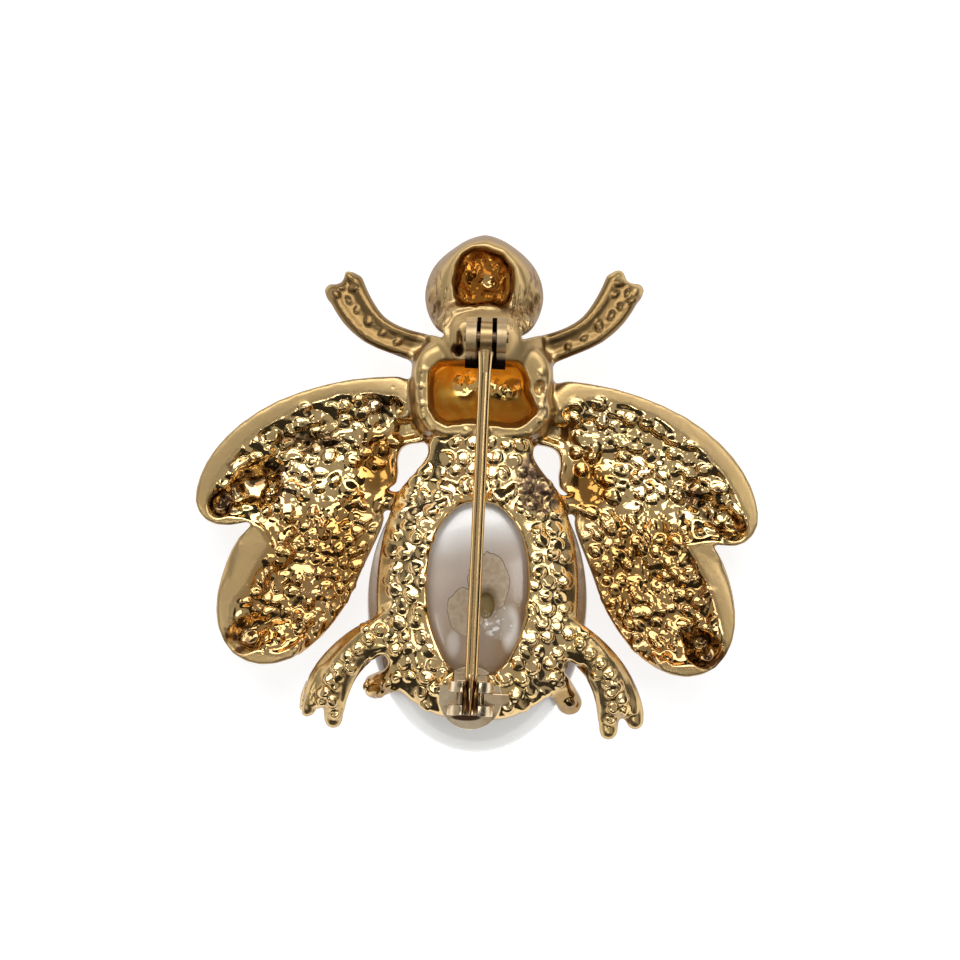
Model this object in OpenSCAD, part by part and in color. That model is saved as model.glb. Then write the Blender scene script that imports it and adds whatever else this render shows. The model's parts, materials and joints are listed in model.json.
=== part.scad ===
// A cast insect brooch, lying face down, seen from its back.
// +Z is the back, where the pin is. +Y is the head. Millimetres.

/* [Pearl abdomen] */
// Width of the oval pearl
pearl_w = 18.3; // [17:0.1:20]
// Length of the oval pearl
pearl_l = 24.8; // [23:0.1:27]
// Thickness of the pearl, front to back
pearl_t = 10; // [9:0.1:11]
// Length of the pearl that lies under the waist
pearl_under_waist = 3.3; // [2.5:0.1:4]

/* [Abdomen frame] */
// Width of the frame that hugs the pearl's back
frame_w = 16.8; // [15.5:0.1:17]
// Length of the frame from the waist to its tail
frame_l = 19.15; // [18.5:0.1:20]
// Thickness of the frame's metal over the pearl
frame_t = 1.25; // [1:0.05:1.6]
// Width of the window in the frame
window_w = 8.2; // [7:0.1:9]
// Length of the window in the frame
window_l = 15.1; // [14:0.1:15.6]
// Clearance between the pearl and the metal round it
pearl_gap = 0.12; // [0.08:0.01:0.2]

/* [Thorax] */
// Width of the thorax
thorax_w = 11.6; // [11:0.1:12.4]
// Length of the thorax
thorax_l = 8.9; // [8.4:0.1:9.6]
// Height of the thorax ring over the ground
thorax_t = 9.3; // [8.8:0.1:9.8]
// Width of the cavity in the thorax
cavity_w = 8.9; // [8:0.1:9.4]
// Length of the cavity in the thorax
cavity_l = 5.3; // [4.6:0.1:5.8]
// Width of the thorax ring's rounded edge
thorax_edge_w = 1.8; // [1.4:0.1:2.2]
// Depth of the cavity in the thorax
cavity_d = 5.2; // [4:0.1:6]
// Width of the waist
waist_w = 7.6; // [7:0.1:8.4]
// Length of the waist, from the frame to the thorax
waist_l = 4.3; // [4:0.1:4.8]

/* [Head] */
// Width of the head
head_w = 9.9; // [9:0.1:10.8]
// Length of the head in front of the thorax
head_l = 8.8; // [8:0.1:9.4]
// Height of the head over the ground
head_t = 7.8; // [7.2:0.1:8.4]
// Width of the hollow in the back of the head
hollow_w = 4.8; // [4:0.1:5.4]
// Length of the hollow in the back of the head
hollow_l = 4.9; // [4:0.1:5.4]
// Width of the head's rounded edge
head_edge_w = 2.4; // [2:0.1:2.8]
// Depth of the hollow in the back of the head
hollow_d = 4.4; // [3.4:0.1:5]

/* [Upper wings] */
// Length of an upper wing, from the thorax to its tip
upper_wing_l = 19.6; // [18.5:0.1:20.5]
// Width of an upper wing
upper_wing_w = 10; // [9.4:0.1:10.6]
// Angle by which an upper wing points down from straight out
upper_wing_angle = 24; // [22:0.5:26]

/* [Lower wings] */
// Length of a lower wing, from the frame to its tip
lower_wing_l = 16.4; // [15.5:0.1:17.2]
// Width of a lower wing
lower_wing_w = 10.6; // [10:0.1:11.2]
// Angle by which a lower wing points down from straight out
lower_wing_angle = 50; // [48:0.5:52]

/* [Shape of the wings] */
// Height of a wing's rolled rim over the ground, at the tip
wing_rim_h = 5.4; // [4.8:0.1:6]
// Height by which a wing rises from its tip to its root
wing_rise = 1.6; // [1:0.1:2.2]
// Width of the rolled rim at its widest
wing_rim_w = 2.3; // [1.8:0.1:2.8]
// Depth of the wing's back below its rim
wing_dish = 1.6; // [1:0.1:2]
// Width of the bar between the frame and the wings
bar_w = 1.7; // [1.4:0.1:2]
// Angle by which the left wings sit higher than the right ones
wing_stagger = 3; // [0:0.5:5]

/* [Legs] */
// Reach of a front leg from the thorax, sideways
front_leg_reach = 8.4; // [7.8:0.1:9]
// Reach of a hind leg from the frame, sideways
hind_leg_reach = 5.79; // [5:0.01:6.2]
// Height of a front leg's back over the ground
front_leg_h = 6.2; // [5.6:0.1:6.8]
// Thickness of the legs, front to back
leg_t = 1.49; // [1.2:0.01:2]
// Width of the claws that hold the pearl
claw_w = 2.4; // [1.8:0.1:2.6]

/* [Cast relief] */
// Diameter of the beads on the frame
bead_d = 1.1; // [0.9:0.05:1.3]
// Distance between the beads
bead_pitch = 2; // [1.8:0.05:2.3]
// Size of the nuggets in the wings
nugget_d = 1.5; // [1.2:0.1:1.8]
// Distance between the nuggets
nugget_pitch = 3.7; // [3.4:0.1:4.2]

/* [Pin] */
// Diameter of the pin wire
pin_d = 1.06; // [0.9:0.02:1.2]
// Distance from the hinge's rivet to the middle of the catch
pin_reach = 29.8; // [28.8:0.1:30.6]
// Length of the pin's tapered point
point_l = 3.4; // [2.6:0.1:4]
// Length of the swollen root where the wire leaves its eye
root_l = 2; // [1.6:0.1:2.4]
// Height of the pin's axis over the ground
pin_h = 12.4; // [12.2:0.1:13]
// Angle by which the pin lies askew on the brooch
pin_skew = 1.24; // [0:0.01:2]
// Diameter of the pin's eye
eye_d = 2.4; // [2.1:0.05:2.6]
// Width of the pin's eye
eye_w = 0.95; // [0.8:0.05:1.1]

/* [Hinge] */
// Diameter of the hinge's rivet
rivet_d = 0.9; // [0.8:0.02:1]
// Clearance round the rivet in the pin's eye
rivet_gap = 0.06; // [0.03:0.01:0.09]
// Width of the hinge bracket over its two ears
hinge_w = 3.35; // [3.1:0.05:3.8]
// Thickness of an ear of the hinge bracket
ear_t = 0.85; // [0.7:0.05:0.95]
// Thickness of the hinge bracket's base plate
hinge_base_t = 0.5; // [0.4:0.05:0.7]
// Reach of the hinge bracket's foot from the rivet towards the catch
hinge_foot_l = 2.6; // [2.4:0.1:3]
// Thickness of the hinge bracket's back wall
hinge_back_t = 0.35; // [0.3:0.05:0.5]
// Height of the ears' front feet
ear_foot_h = 1.2; // [0.9:0.1:1.4]
// Width of the solder mound that carries the hinge
mound_w = 6.6; // [6:0.1:7.4]
// Height of the solder mound above its widest level
mound_t = 3.4; // [2.8:0.1:4]

/* [Catch] */
// Diameter of the catch's round base plate
catch_base_d = 5.2; // [4.8:0.1:5.4]
// Thickness of the catch's base plate
catch_base_t = 0.45; // [0.35:0.05:0.6]
// Outer diameter of the catch's two C bands
band_d = 3.8; // [3.6:0.05:3.9]
// Width of each band
band_w = 0.85; // [0.7:0.05:0.95]
// Width of the mouth where the pin goes in
mouth_w = 1.3; // [1.26:0.01:1.5]
// Diameter of the roller that locks the pin
roller_d = 2.3; // [2.2:0.05:2.5]
// Length of the roller
roller_l = 2.8; // [2.7:0.05:3]
// Clearance round the roller
roller_gap = 0.07; // [0.04:0.01:0.1]
// Height of the bands over the underside of the catch's base plate
catch_lift = 0.1; // [0.05:0.01:0.2]
// Reach of the lever from the roller's axis
lever_reach = 3.2; // [2.8:0.1:3.6]
// Thickness of the lever
lever_t = 0.6; // [0.5:0.05:0.7]

/* [Hidden] */

GOLD = "goldenrod";
STEPS = 2;
EPS = 0.01;

// Stations along the body. The waist line is y = 0.
pearl_y = pearl_under_waist - pearl_l / 2;
pearl_mid_h = pearl_t / 2;
frame_top_y = waist_l + 1.2;
frame_tail_y = -frame_l;
window_top_y = -0.55;
thorax_y = waist_l + thorax_l / 2;
cavity_y = thorax_y - 0.45;
head_y = thorax_y + thorax_l / 2 - 0.35;
hollow_y = head_y + head_l * 0.6;

// The pin's line, and what stands on it
hinge_x = 0.25;
hinge_y = thorax_y + thorax_l / 2 - 0.25;
eye_clear = 0.3;
hinge_pad_h = pin_h - eye_d / 2 - eye_clear - hinge_base_t;
catch_pad_h = pin_h - band_d / 2 - catch_lift;
roller_bore_r = roller_d / 2 + roller_gap;
rivet_bore_r = rivet_d / 2 + rivet_gap;
ear_bore_r = rivet_d / 2 + 0.02;
rivet_end = 0.15;
ear_r = eye_d / 2 + 0.05;
pad_edge = 0.15;
wire_r = pin_d / 2;

// Where the wings and legs start
upper_root = [thorax_w / 2, thorax_y - 1.85];
lower_root = [frame_w / 2 - 0.2, -2.5];
front_leg_root = [thorax_w * 0.38, thorax_y + thorax_l * 0.37];
hind_leg_root = [frame_w / 2 - 1.2, -11.4];
wing_base_h = wing_rim_h - wing_dish;

// Half outlines, from the head end to the tail end: share of the length, share of the half width
FRAME_SHAPE = [
    [0.03, 0.46], [0.09, 0.51], [0.15, 0.63], [0.21, 0.78], [0.29, 0.88], [0.38, 0.95], [0.48, 0.99],
    [0.59, 1], [0.69, 0.965], [0.77, 0.89], [0.84, 0.82], [0.9, 0.715], [0.945, 0.52], [0.98, 0.26]
];
WINDOW_SHAPE = [
    [0.015, 0.25], [0.07, 0.56], [0.18, 0.84], [0.32, 0.97], [0.5, 1], [0.66, 0.93], [0.8, 0.74], [0.93, 0.42]
];
THORAX_SHAPE = [
    [0.02, 0.4], [0.1, 0.82], [0.25, 1], [0.45, 1.02], [0.65, 0.97], [0.83, 0.85], [0.96, 0.55]
];
HEAD_SHAPE = [
    [0.02, 0.12], [0.08, 0.36], [0.19, 0.65], [0.31, 0.86], [0.44, 0.965], [0.58, 1.01], [0.73, 0.97],
    [0.86, 0.86], [0.95, 0.68], [1, 0.3]
];
CAVITY_SHAPE = [[0.02, 0.5], [0.12, 0.82], [0.38, 1], [0.68, 0.97], [0.9, 0.82], [1, 0.5], [0.97, 0.15]];

// Wing outlines, anticlockwise on the right wing: share of the length outwards, share of the width upwards,
// and share of the rim's full width and height there
UPPER_WING_SHAPE = [
    [-0.07, -0.2, 0.3], [0, -0.29, 0.3], [0.05, -0.27, 0.25], [0.1, -0.27, 0.25], [0.135, -0.36, 0.25],
    [0.175, -0.53, 0.2], [0.3, -0.55, 0.2], [0.43, -0.49, 0.2], [0.56, -0.42, 0.2], [0.725, -0.4, 0.25],
    [0.9, -0.35, 0.35], [0.985, -0.24, 0.4], [1, -0.06, 0.45], [0.94, 0.13, 0.6], [0.84, 0.29, 0.75],
    [0.7, 0.41, 0.8], [0.52, 0.475, 0.75], [0.3, 0.455, 0.65], [0.09, 0.36, 0.5], [-0.06, 0.2, 0.4]
];
LOWER_WING_SHAPE = [
    [-0.03, 0, 0.25], [0.08, -0.07, 0.25], [0.23, -0.14, 0.25], [0.43, -0.235, 0.3], [0.64, -0.26, 0.35],
    [0.82, -0.2, 0.4], [0.95, -0.05, 0.5], [1, 0.17, 0.75], [0.95, 0.4, 0.95], [0.83, 0.575, 1],
    [0.68, 0.69, 1], [0.54, 0.745, 0.9], [0.4, 0.72, 0.6], [0.24, 0.64, 0.25], [0.1, 0.49, 0.15],
    [0, 0.3, 0.15], [-0.05, 0.12, 0.2]
];

// Height of a wing's floor in its middle, and of the ground under its nuggets, as shares of the dish's edge
floor_share = 0.8;
nugget_share = 0.88;
// Rings of a wing, from its dished back out over the rim to its front: how far in from the outline as a share
// of the rim's width there, how far towards the middle, height as a share of the dish's floor, and rise
// towards the rim's crest as a share of the dish's depth
WING_RINGS = [
    [1, 0.6, floor_share, 0], [1, 0.2, 0.93, 0], [1, 0, 1, 0.15], [0.7, 0, 1, 0.85], [0.4, 0, 1, 1],
    [0.1, 0, 1, 0.7], [0, 0, 0.8, 0], [0.3, 0, 0.4, 0], [1, 0.1, 0.15, 0], [1, 0.5, 0.02, 0]
];
// Rings of the head and of the thorax, from the back to the front: how far in from the outline as a share of
// the edge's width, how far towards the middle, and height as a share of the full height
HEAD_RINGS = [
    [0.75, 0.5, 1], [0.75, 0, 0.96], [0.4, 0, 0.86], [0.12, 0, 0.66], [0, 0, 0.44], [0.2, 0, 0.2],
    [0.6, 0.1, 0.08], [0.8, 0.5, 0.03]
];
THORAX_RINGS = [
    [0.5, 0.5, 1], [0.5, 0, 1], [0.2, 0, 0.97], [0.03, 0, 0.87], [0, 0, 0.5], [0.3, 0, 0.22], [0.8, 0.1, 0.1],
    [0.8, 0.5, 0.07]
];

// Legs, from their root: share of the reach outwards and along, share of the height, half width in mm
FRONT_LEG_PATH = [
    [-0.12, -0.07, 0.95, 1.4], [0.12, 0.01, 1, 1.25], [0.35, 0.09, 1.02, 1.2], [0.56, 0.2, 0.98, 1.35],
    [0.72, 0.37, 0.9, 1.55], [0.82, 0.54, 0.82, 1.62], [0.88, 0.68, 0.74, 1.65]
];
HIND_LEG_PATH = [
    [-0.14, 0, 1, 1.4], [0.1, -0.06, 0.98, 1.5], [0.33, -0.21, 0.9, 1.55], [0.56, -0.42, 0.8, 1.6],
    [0.75, -0.69, 0.68, 1.75], [0.87, -0.98, 0.56, 1.9], [0.91, -1.16, 0.5, 1.95]
];

// Cross-section of a leg, with its channel: share of the half width, share of the thickness
LIMB_SECTION = [
    [1, -1], [-1, -1], [-1, -0.3], [-0.72, 0], [-0.5, 0], [-0.38, -0.25], [0.38, -0.25], [0.5, 0], [0.72, 0],
    [1, -0.3]
];

// Smooth curves through a few points
function wrap(p, i) = p[(i + len(p)) % len(p)];
function clamp_at(p, i) = p[max(0, min(len(p) - 1, i))];
function bend(a, b, c, d, t) = 0.5 * (2 * b + (c - a) * t + (2 * a - 5 * b + 4 * c - d) * t * t
    + (3 * b - a - 3 * c + d) * t * t * t);
function smooth_loop(p, steps) = [
    for (i = [0 : len(p) - 1], s = [0 : steps - 1])
        bend(wrap(p, i - 1), wrap(p, i), wrap(p, i + 1), wrap(p, i + 2), s / steps)
];
function smooth_line(p, steps) = [
    for (i = [0 : len(p) - 2], s = [0 : (i == len(p) - 2 ? steps : steps - 1)])
        bend(clamp_at(p, i - 1), p[i], p[i + 1], clamp_at(p, i + 2), s / steps)
];
function mirrored(p) = concat([for (q = p) [-q[0], q[1]]], [for (i = [len(p) - 1 : -1 : 0]) p[i]]);
function turned(q, a) = [q[0] * cos(a) - q[1] * sin(a), q[0] * sin(a) + q[1] * cos(a)];
function middle(p, i = 0, sum = [0, 0]) = i == len(p) ? sum / len(p) : middle(p, i + 1, sum + p[i]);

// Outline of a body part from its half outline: top y, length and width
function body_outline(shape, top, length, width) = smooth_loop(
    mirrored([for (s = shape) [s[1] * width / 2, top - s[0] * length]]), STEPS);
// Outline of a right wing, with the rim's share at each point
function wing_outline(shape, root, length, width, angle) = smooth_loop([
    for (s = shape)
        let (q = root + turned([s[0] * length, s[1] * width], -angle))
        [q[0], q[1], s[2]]
], STEPS);
function flat(p) = [for (q = p) [q[0], q[1]]];

// Whether a point lies inside a closed outline
function crossings(q, p) = len([
    for (i = [0 : len(p) - 1])
        let (a = p[i], b = wrap(p, i + 1))
        if ((a[1] > q[1]) != (b[1] > q[1])
            && q[0] < a[0] + (b[0] - a[0]) * (q[1] - a[1]) / (b[1] - a[1])) i
]);
function inside(q, p) = crossings(q, p) % 2 == 1;

// An outline moved inwards by a distance. It runs anticlockwise.
function inward(p, i) = let (d = wrap(p, i + 1) - wrap(p, i - 1)) [-d[1], d[0]] / norm(d);
function moved_in(p, by) = [for (i = [0 : len(p) - 1]) p[i] + inward(p, i) * by];

// Height of the frame's back over the pearl, and of a wing's rise at a point
function dome(x, y, extra) =
    let (u = x / (pearl_w / 2 + extra), v = (y - pearl_y) / (pearl_l / 2 + extra))
    pearl_mid_h + (pearl_t / 2 + extra) * sqrt(max(0, 1 - u * u - v * v));
function rise(q, root, length) = wing_rise * pow(max(0, 1 - norm(q - root) / length), 1.3);

// Closed solid through rings that have as many points each, from its top point to its bottom point
module skin(rings, top, bottom) {
    n = len(rings[0]);
    m = len(rings);
    last = m * n + 1;
    polyhedron(
        points = concat([top], [for (r = rings, q = r) q], [bottom]),
        faces = concat(
            [for (i = [0 : n - 1]) [0, 1 + (i + 1) % n, 1 + i]],
            [for (k = [0 : m - 2], i = [0 : n - 1])
                let (a = 1 + k * n, j = (i + 1) % n) [a + i, a + j, a + n + i]],
            [for (k = [0 : m - 2], i = [0 : n - 1])
                let (a = 1 + k * n, j = (i + 1) % n) [a + j, a + n + j, a + n + i]],
            [for (i = [0 : n - 1]) let (a = 1 + (m - 1) * n) [last, a + i, a + (i + 1) % n]]
        ));
}

// A rounded body part from its outline and its table of rings
module pod(outline, table, inset, height) {
    mid = middle(outline);
    rings = [
        for (row = table)
            let (loop = moved_in(outline, row[0] * inset))
            [for (q = loop) let (s = q + (mid - q) * row[1]) [s[0], s[1], row[2] * height]]
    ];
    skin(rings, [mid[0], mid[1], table[0][2] * height], [mid[0], mid[1], 0]);
}

// One wing: a shell that is dished behind and domed in front, inside a rolled rim
module wing(shape, root, length) {
    outline = flat(shape);
    mid = middle(outline);
    rings = [
        for (row = WING_RINGS) [
            for (i = [0 : len(outline) - 1])
                let (
                    rim = shape[i][2],
                    q = outline[i] + inward(outline, i) * row[0] * rim * wing_rim_w,
                    s = q + (mid - q) * row[1]
                )
                [s[0], s[1], row[2] * (wing_base_h + rise(s, root, length)) + row[3] * rim * wing_dish]
        ]
    ];
    skin(rings, [mid[0], mid[1], floor_share * (wing_base_h + rise(mid, root, length))], [mid[0], mid[1], 0]);
    nuggets(outline, root, length);
}

// Coarse nuggets that stand in the dish of a wing
module nuggets(outline, root, length) {
    mid = middle(outline);
    field = [for (q = moved_in(outline, wing_rim_w * 0.4)) q + (mid - q) * 0.12];
    for (x = [0 : nugget_pitch : length * 1.3], y = [-length : nugget_pitch : length / 2]) {
        shift = rands(-0.4, 0.4, 3, x * 7 + y * 13 + 500);
        q = root + [x + shift[0], y + shift[1]];
        if (inside(q, field))
            nugget([q[0], q[1], (wing_base_h + rise(q, root, length)) * nugget_share], shift[2] * 200);
    }
}

module nugget(place, angle) {
    translate(place) rotate([0, 0, angle]) hull()
        for (side = [-1, 1])
            translate([side * nugget_d * 0.22, 0, 0]) sphere(d = nugget_d * 0.8, $fn = 6);
}

// A limb with a channel down its back, swept along its path
module limb(path, thickness) {
    line = smooth_line(path, 2);
    rings = [
        for (i = [0 : len(line) - 1])
            let (
                way = clamp_at(line, i + 1) - clamp_at(line, i - 1),
                side = [-way[1], way[0]] / norm([way[0], way[1]]),
                c = line[i]
            )
            [for (s = LIMB_SECTION)
                [c[0] + side[0] * s[0] * c[3], c[1] + side[1] * s[0] * c[3], c[2] + s[1] * thickness]]
    ];
    first = line[0];
    end = line[len(line) - 1];
    skin(rings, [first[0], first[1], first[2] - thickness / 2], [end[0], end[1], end[2] - thickness / 2]);
}

// A toe or a claw: a tapered round finger between two points
module finger(from, to, r1, r2) {
    hull() {
        translate(from) sphere(r = r1, $fn = 8);
        translate(to) sphere(r = r2, $fn = 8);
    }
}

// Runs its children on the right, and mirrored on the left. $side is 1 or -1.
module both_sides() {
    for ($side = [1, -1]) scale([$side, 1, 1]) children();
}

module wings() {
    both_sides() {
        stagger = $side * wing_stagger / 2;
        upper_turn = upper_wing_angle + stagger;
        lower_turn = lower_wing_angle + stagger / 2;
        wing(wing_outline(UPPER_WING_SHAPE, upper_root, upper_wing_l, upper_wing_w, upper_turn),
            upper_root, upper_wing_l);
        wing(wing_outline(LOWER_WING_SHAPE, lower_root, lower_wing_l, lower_wing_w, lower_turn),
            lower_root, lower_wing_l);
        // The flat bar that ties the wings to the frame's shoulder
        hull() {
            translate([frame_w * 0.4, -0.8, dome(frame_w * 0.4, -0.8, 0)]) scale([1, 1, 0.6])
                sphere(r = bar_w / 2, $fn = 8);
            translate([frame_w * 0.62, -0.4, wing_base_h + wing_rise * 0.4]) scale([1, 1, 0.6])
                sphere(r = bar_w * 0.7, $fn = 8);
        }
    }
}

module front_legs() {
    both_sides() {
        lift = $side > 0 ? 0.04 : -0.04;
        path = [
            for (s = FRONT_LEG_PATH)
                [front_leg_root[0] + s[0] * front_leg_reach,
                    front_leg_root[1] + (s[1] + max(0, s[0]) * lift) * front_leg_reach,
                    s[2] * front_leg_h, s[3]]
        ];
        limb(path, leg_t);
        tip = path[len(path) - 1];
        low = tip[2] - leg_t * 0.55;
        finger([tip[0] - 0.9, tip[1] - 0.5, low], [tip[0] - 0.6, tip[1] + 0.35, low], 0.7, 0.65);
        finger([tip[0] + 0.8, tip[1] - 1.2, low], [tip[0] + 1, tip[1] - 0.75, low], 0.7, 0.65);
    }
}

module hind_legs() {
    both_sides() {
        turn = $side > 0 ? -2.5 : 2.5;
        height = dome(hind_leg_root[0], hind_leg_root[1], frame_t) + 0.1;
        path = [
            for (s = HIND_LEG_PATH)
                let (q = turned([s[0], s[1]] * hind_leg_reach, turn))
                [hind_leg_root[0] + q[0], hind_leg_root[1] + q[1], s[2] * height, s[3]]
        ];
        limb(path, leg_t);
        tip = path[len(path) - 1];
        low = tip[2] - leg_t * 0.55;
        finger([tip[0] - 1, tip[1] + 0.2, low], [tip[0] - 1, tip[1] - 1.15, low], 0.9, 0.85);
        finger([tip[0] + 1, tip[1] + 0.3, low], [tip[0] + 1.2, tip[1] - 0.3, low], 0.9, 0.8);
    }
}

// Short claws that reach from the frame's tail corners over the pearl's edge
module claws() {
    root = [frame_w * 0.4, -15.4, dome(frame_w * 0.4, -15.4, frame_t) - 0.9];
    right_tip = [pearl_w * 0.43, -17.2, pearl_mid_h + 0.3];
    left_tip = [-pearl_w * 0.455, -16.2, pearl_mid_h + 0.3];
    finger(root, right_tip, claw_w / 2, claw_w / 2);
    finger([-root[0], root[1], root[2]], left_tip, claw_w / 2, claw_w / 2);
}

module frame_shell() {
    outline = frame_outline();
    intersection() {
        translate([0, 0, pearl_mid_h]) linear_extrude(pearl_t) polygon(outline);
        translate([0, pearl_y, pearl_mid_h])
            scale([pearl_w / 2 + frame_t, pearl_l / 2 + frame_t, pearl_t / 2 + frame_t]) sphere(1, $fn = 36);
    }
    // The waist between the frame and the thorax
    intersection() {
        linear_extrude(thorax_t * 2) polygon(outline);
        hull() {
            translate([0, waist_l + 1.6, thorax_t * 0.62]) scale([waist_w * 0.7, 2.2, thorax_t * 0.36])
                sphere(1, $fn = 16);
            translate([0, -0.6, thorax_t * 0.7]) scale([waist_w, 2.6, thorax_t * 0.31])
                sphere(1, $fn = 16);
        }
    }
}

// Round beads in staggered rows over the back of the frame and the waist
module beads() {
    outline = moved_in(frame_outline(), bead_d * 0.6);
    window = moved_in(window_outline(), -bead_d * 0.55);
    row_h = bead_pitch * 0.87;
    rows = ceil((frame_top_y - frame_tail_y) / row_h);
    columns = ceil(frame_w / bead_pitch / 2);
    for (r = [0 : rows], c = [-columns : columns]) {
        shift = rands(-0.2, 0.2, 2, r * 31 + c + 90);
        q = [(c + (r % 2) / 2) * bead_pitch + shift[0], frame_top_y - r * row_h + shift[1]];
        waist = q[1] > -0.6 ? thorax_t * 0.96 - abs(q[0]) * 0.25 : 0;
        top = max(dome(q[0], q[1], frame_t), waist);
        clear = norm(q - catch_point()) > catch_base_d / 2 + bead_d * 0.6;
        if (clear && inside(q, outline) && !inside(q, window))
            translate([q[0], q[1], top - bead_d * 0.12]) sphere(d = bead_d, $fn = 6);
    }
}

function frame_outline() = body_outline(FRAME_SHAPE, frame_top_y, frame_top_y - frame_tail_y, frame_w);
function window_outline() = body_outline(WINDOW_SHAPE, window_top_y, window_l, window_w);
function catch_point() = [hinge_x, hinge_y] + turned([0, -pin_reach], -pin_skew);

module casting() color(GOLD) {
    difference() {
        union() {
            pod(body_outline(THORAX_SHAPE, thorax_y + thorax_l / 2, thorax_l, thorax_w),
                THORAX_RINGS, thorax_edge_w, thorax_t);
            pod(body_outline(HEAD_SHAPE, head_y + head_l, head_l, head_w),
                HEAD_RINGS, head_edge_w, head_t);
            frame_shell();
            beads();
            wings();
            front_legs();
            hind_legs();
            claws();
            hinge_pad();
            catch_pad();
        }
        // The pearl's seat
        translate([0, pearl_y, pearl_mid_h])
            scale([pearl_w / 2 + pearl_gap, pearl_l / 2 + pearl_gap, pearl_t / 2 + pearl_gap])
                sphere(1, $fn = 40);
        // The window that shows the pearl's back
        translate([0, 0, pearl_mid_h]) linear_extrude(pearl_t) polygon(window_outline());
        // The hollow back of the head
        translate([0, hollow_y, head_t]) scale([hollow_w / 2, hollow_l / 2, hollow_d]) sphere(1, $fn = 20);
        // The cavity in the thorax
        cavity = body_outline(CAVITY_SHAPE, cavity_y + cavity_l / 2, cavity_l, cavity_w);
        hull() {
            translate([0, 0, thorax_t - 0.6]) linear_extrude(2) polygon(cavity);
            translate([0, cavity_y, thorax_t - cavity_d]) scale([0.8, 0.8, 1])
                translate([0, -cavity_y, 0]) linear_extrude(1) polygon(cavity);
        }
        // Flat ground for the hinge and the catch
        on_pin_line() {
            translate([-hinge_w / 2 - pad_edge, -hinge_foot_l - pad_edge, hinge_pad_h])
                cube([hinge_w + 2 * pad_edge, hinge_foot_l + ear_r + hinge_back_t + 2 * pad_edge, pin_h]);
            translate([0, -pin_reach, catch_pad_h])
                cylinder(d = catch_base_d + 2 * pad_edge, h = pin_h, $fn = 32);
        }
    }
}

// A round bar along X, and one that tapers towards -Y, from the place where they are drawn
module bar_x(r, l) {
    rotate([0, 90, 0]) cylinder(r = r, h = l, $fn = 48);
}
module bar_y(r1, r2, l) {
    rotate([90, 0, 0]) cylinder(r1 = r1, r2 = r2, h = l, $fn = 48);
}

// Everything on the pin's line stands on it in its own straight frame, with the rivet at the origin
module on_pin_line() {
    translate([hinge_x, hinge_y, 0]) rotate([0, 0, -pin_skew]) children();
}

// The solder pad under the hinge, a smooth mound between the head and the thorax
module hinge_pad() {
    on_pin_line() intersection() {
        translate([-0.3, -0.5, hinge_pad_h - mound_t * 0.7]) scale([mound_w / 2, mound_w * 0.55, mound_t])
            sphere(1, $fn = 20);
        translate([-mound_w, -mound_w, 0]) cube([2 * mound_w, 2 * mound_w, hinge_pad_h]);
    }
}

// The solder pad under the catch
module catch_pad() {
    on_pin_line() translate([0, -pin_reach, pearl_mid_h])
        cylinder(d1 = catch_base_d * 0.6, d2 = catch_base_d, h = catch_pad_h - pearl_mid_h, $fn = 32);
}

module pearl() color("whitesmoke") {
    n = 48;
    rings = [
        for (k = [1 : n / 2 - 1])
            let (a = 90 - k * 360 / n)
            [for (i = [0 : n - 1]) [
                pearl_w / 2 * cos(a) * cos(i * 360 / n),
                pearl_y + pearl_l / 2 * cos(a) * sin(i * 360 / n),
                pearl_mid_h + pearl_t / 2 * sin(a)
            ]]
    ];
    skin(rings, [0, pearl_y, pearl_t], [0, pearl_y, 0]);
}

module hinge_bracket() color("silver") on_pin_line() {
    half = hinge_w / 2;
    foot = hinge_foot_l - hinge_back_t;
    difference() {
        union() {
            translate([-half, -hinge_foot_l, hinge_pad_h])
                cube([hinge_w, hinge_foot_l + ear_r + hinge_back_t, hinge_base_t]);
            for (x = [-half, half - ear_t]) {
                translate([x, -ear_r, hinge_pad_h]) cube([ear_t, 2 * ear_r, pin_h - hinge_pad_h]);
                translate([x, 0, pin_h]) bar_x(ear_r, ear_t);
                translate([x, -foot, hinge_pad_h]) cube([ear_t, foot, ear_foot_h]);
            }
            translate([-half, ear_r - EPS, hinge_pad_h])
                cube([hinge_w, hinge_back_t + EPS, pin_h - hinge_pad_h - rivet_d / 4]);
        }
        translate([-hinge_w, 0, pin_h]) bar_x(ear_bore_r, 2 * hinge_w);
    }
}

module hinge_rivet() color("silver") on_pin_line() {
    translate([-hinge_w / 2 - rivet_end, 0, pin_h]) bar_x(rivet_d / 2, hinge_w + 2 * rivet_end);
}

module pin_stem() color("gold") on_pin_line() {
    straight = pin_reach + roller_l / 2 - point_l;
    root_y = eye_d * 0.38;
    difference() {
        union() {
            translate([-eye_w / 2, 0, pin_h]) bar_x(eye_d / 2, eye_w);
            translate([0, -root_y, pin_h]) bar_y(wire_r * 1.25, wire_r, root_l);
            translate([0, -root_y - root_l, pin_h]) bar_y(wire_r, wire_r, straight - root_y - root_l);
            translate([0, -straight, pin_h]) bar_y(wire_r, wire_r * 0.25, point_l);
        }
        translate([-eye_w, 0, pin_h]) bar_x(rivet_bore_r, 2 * eye_w);
    }
}

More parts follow.
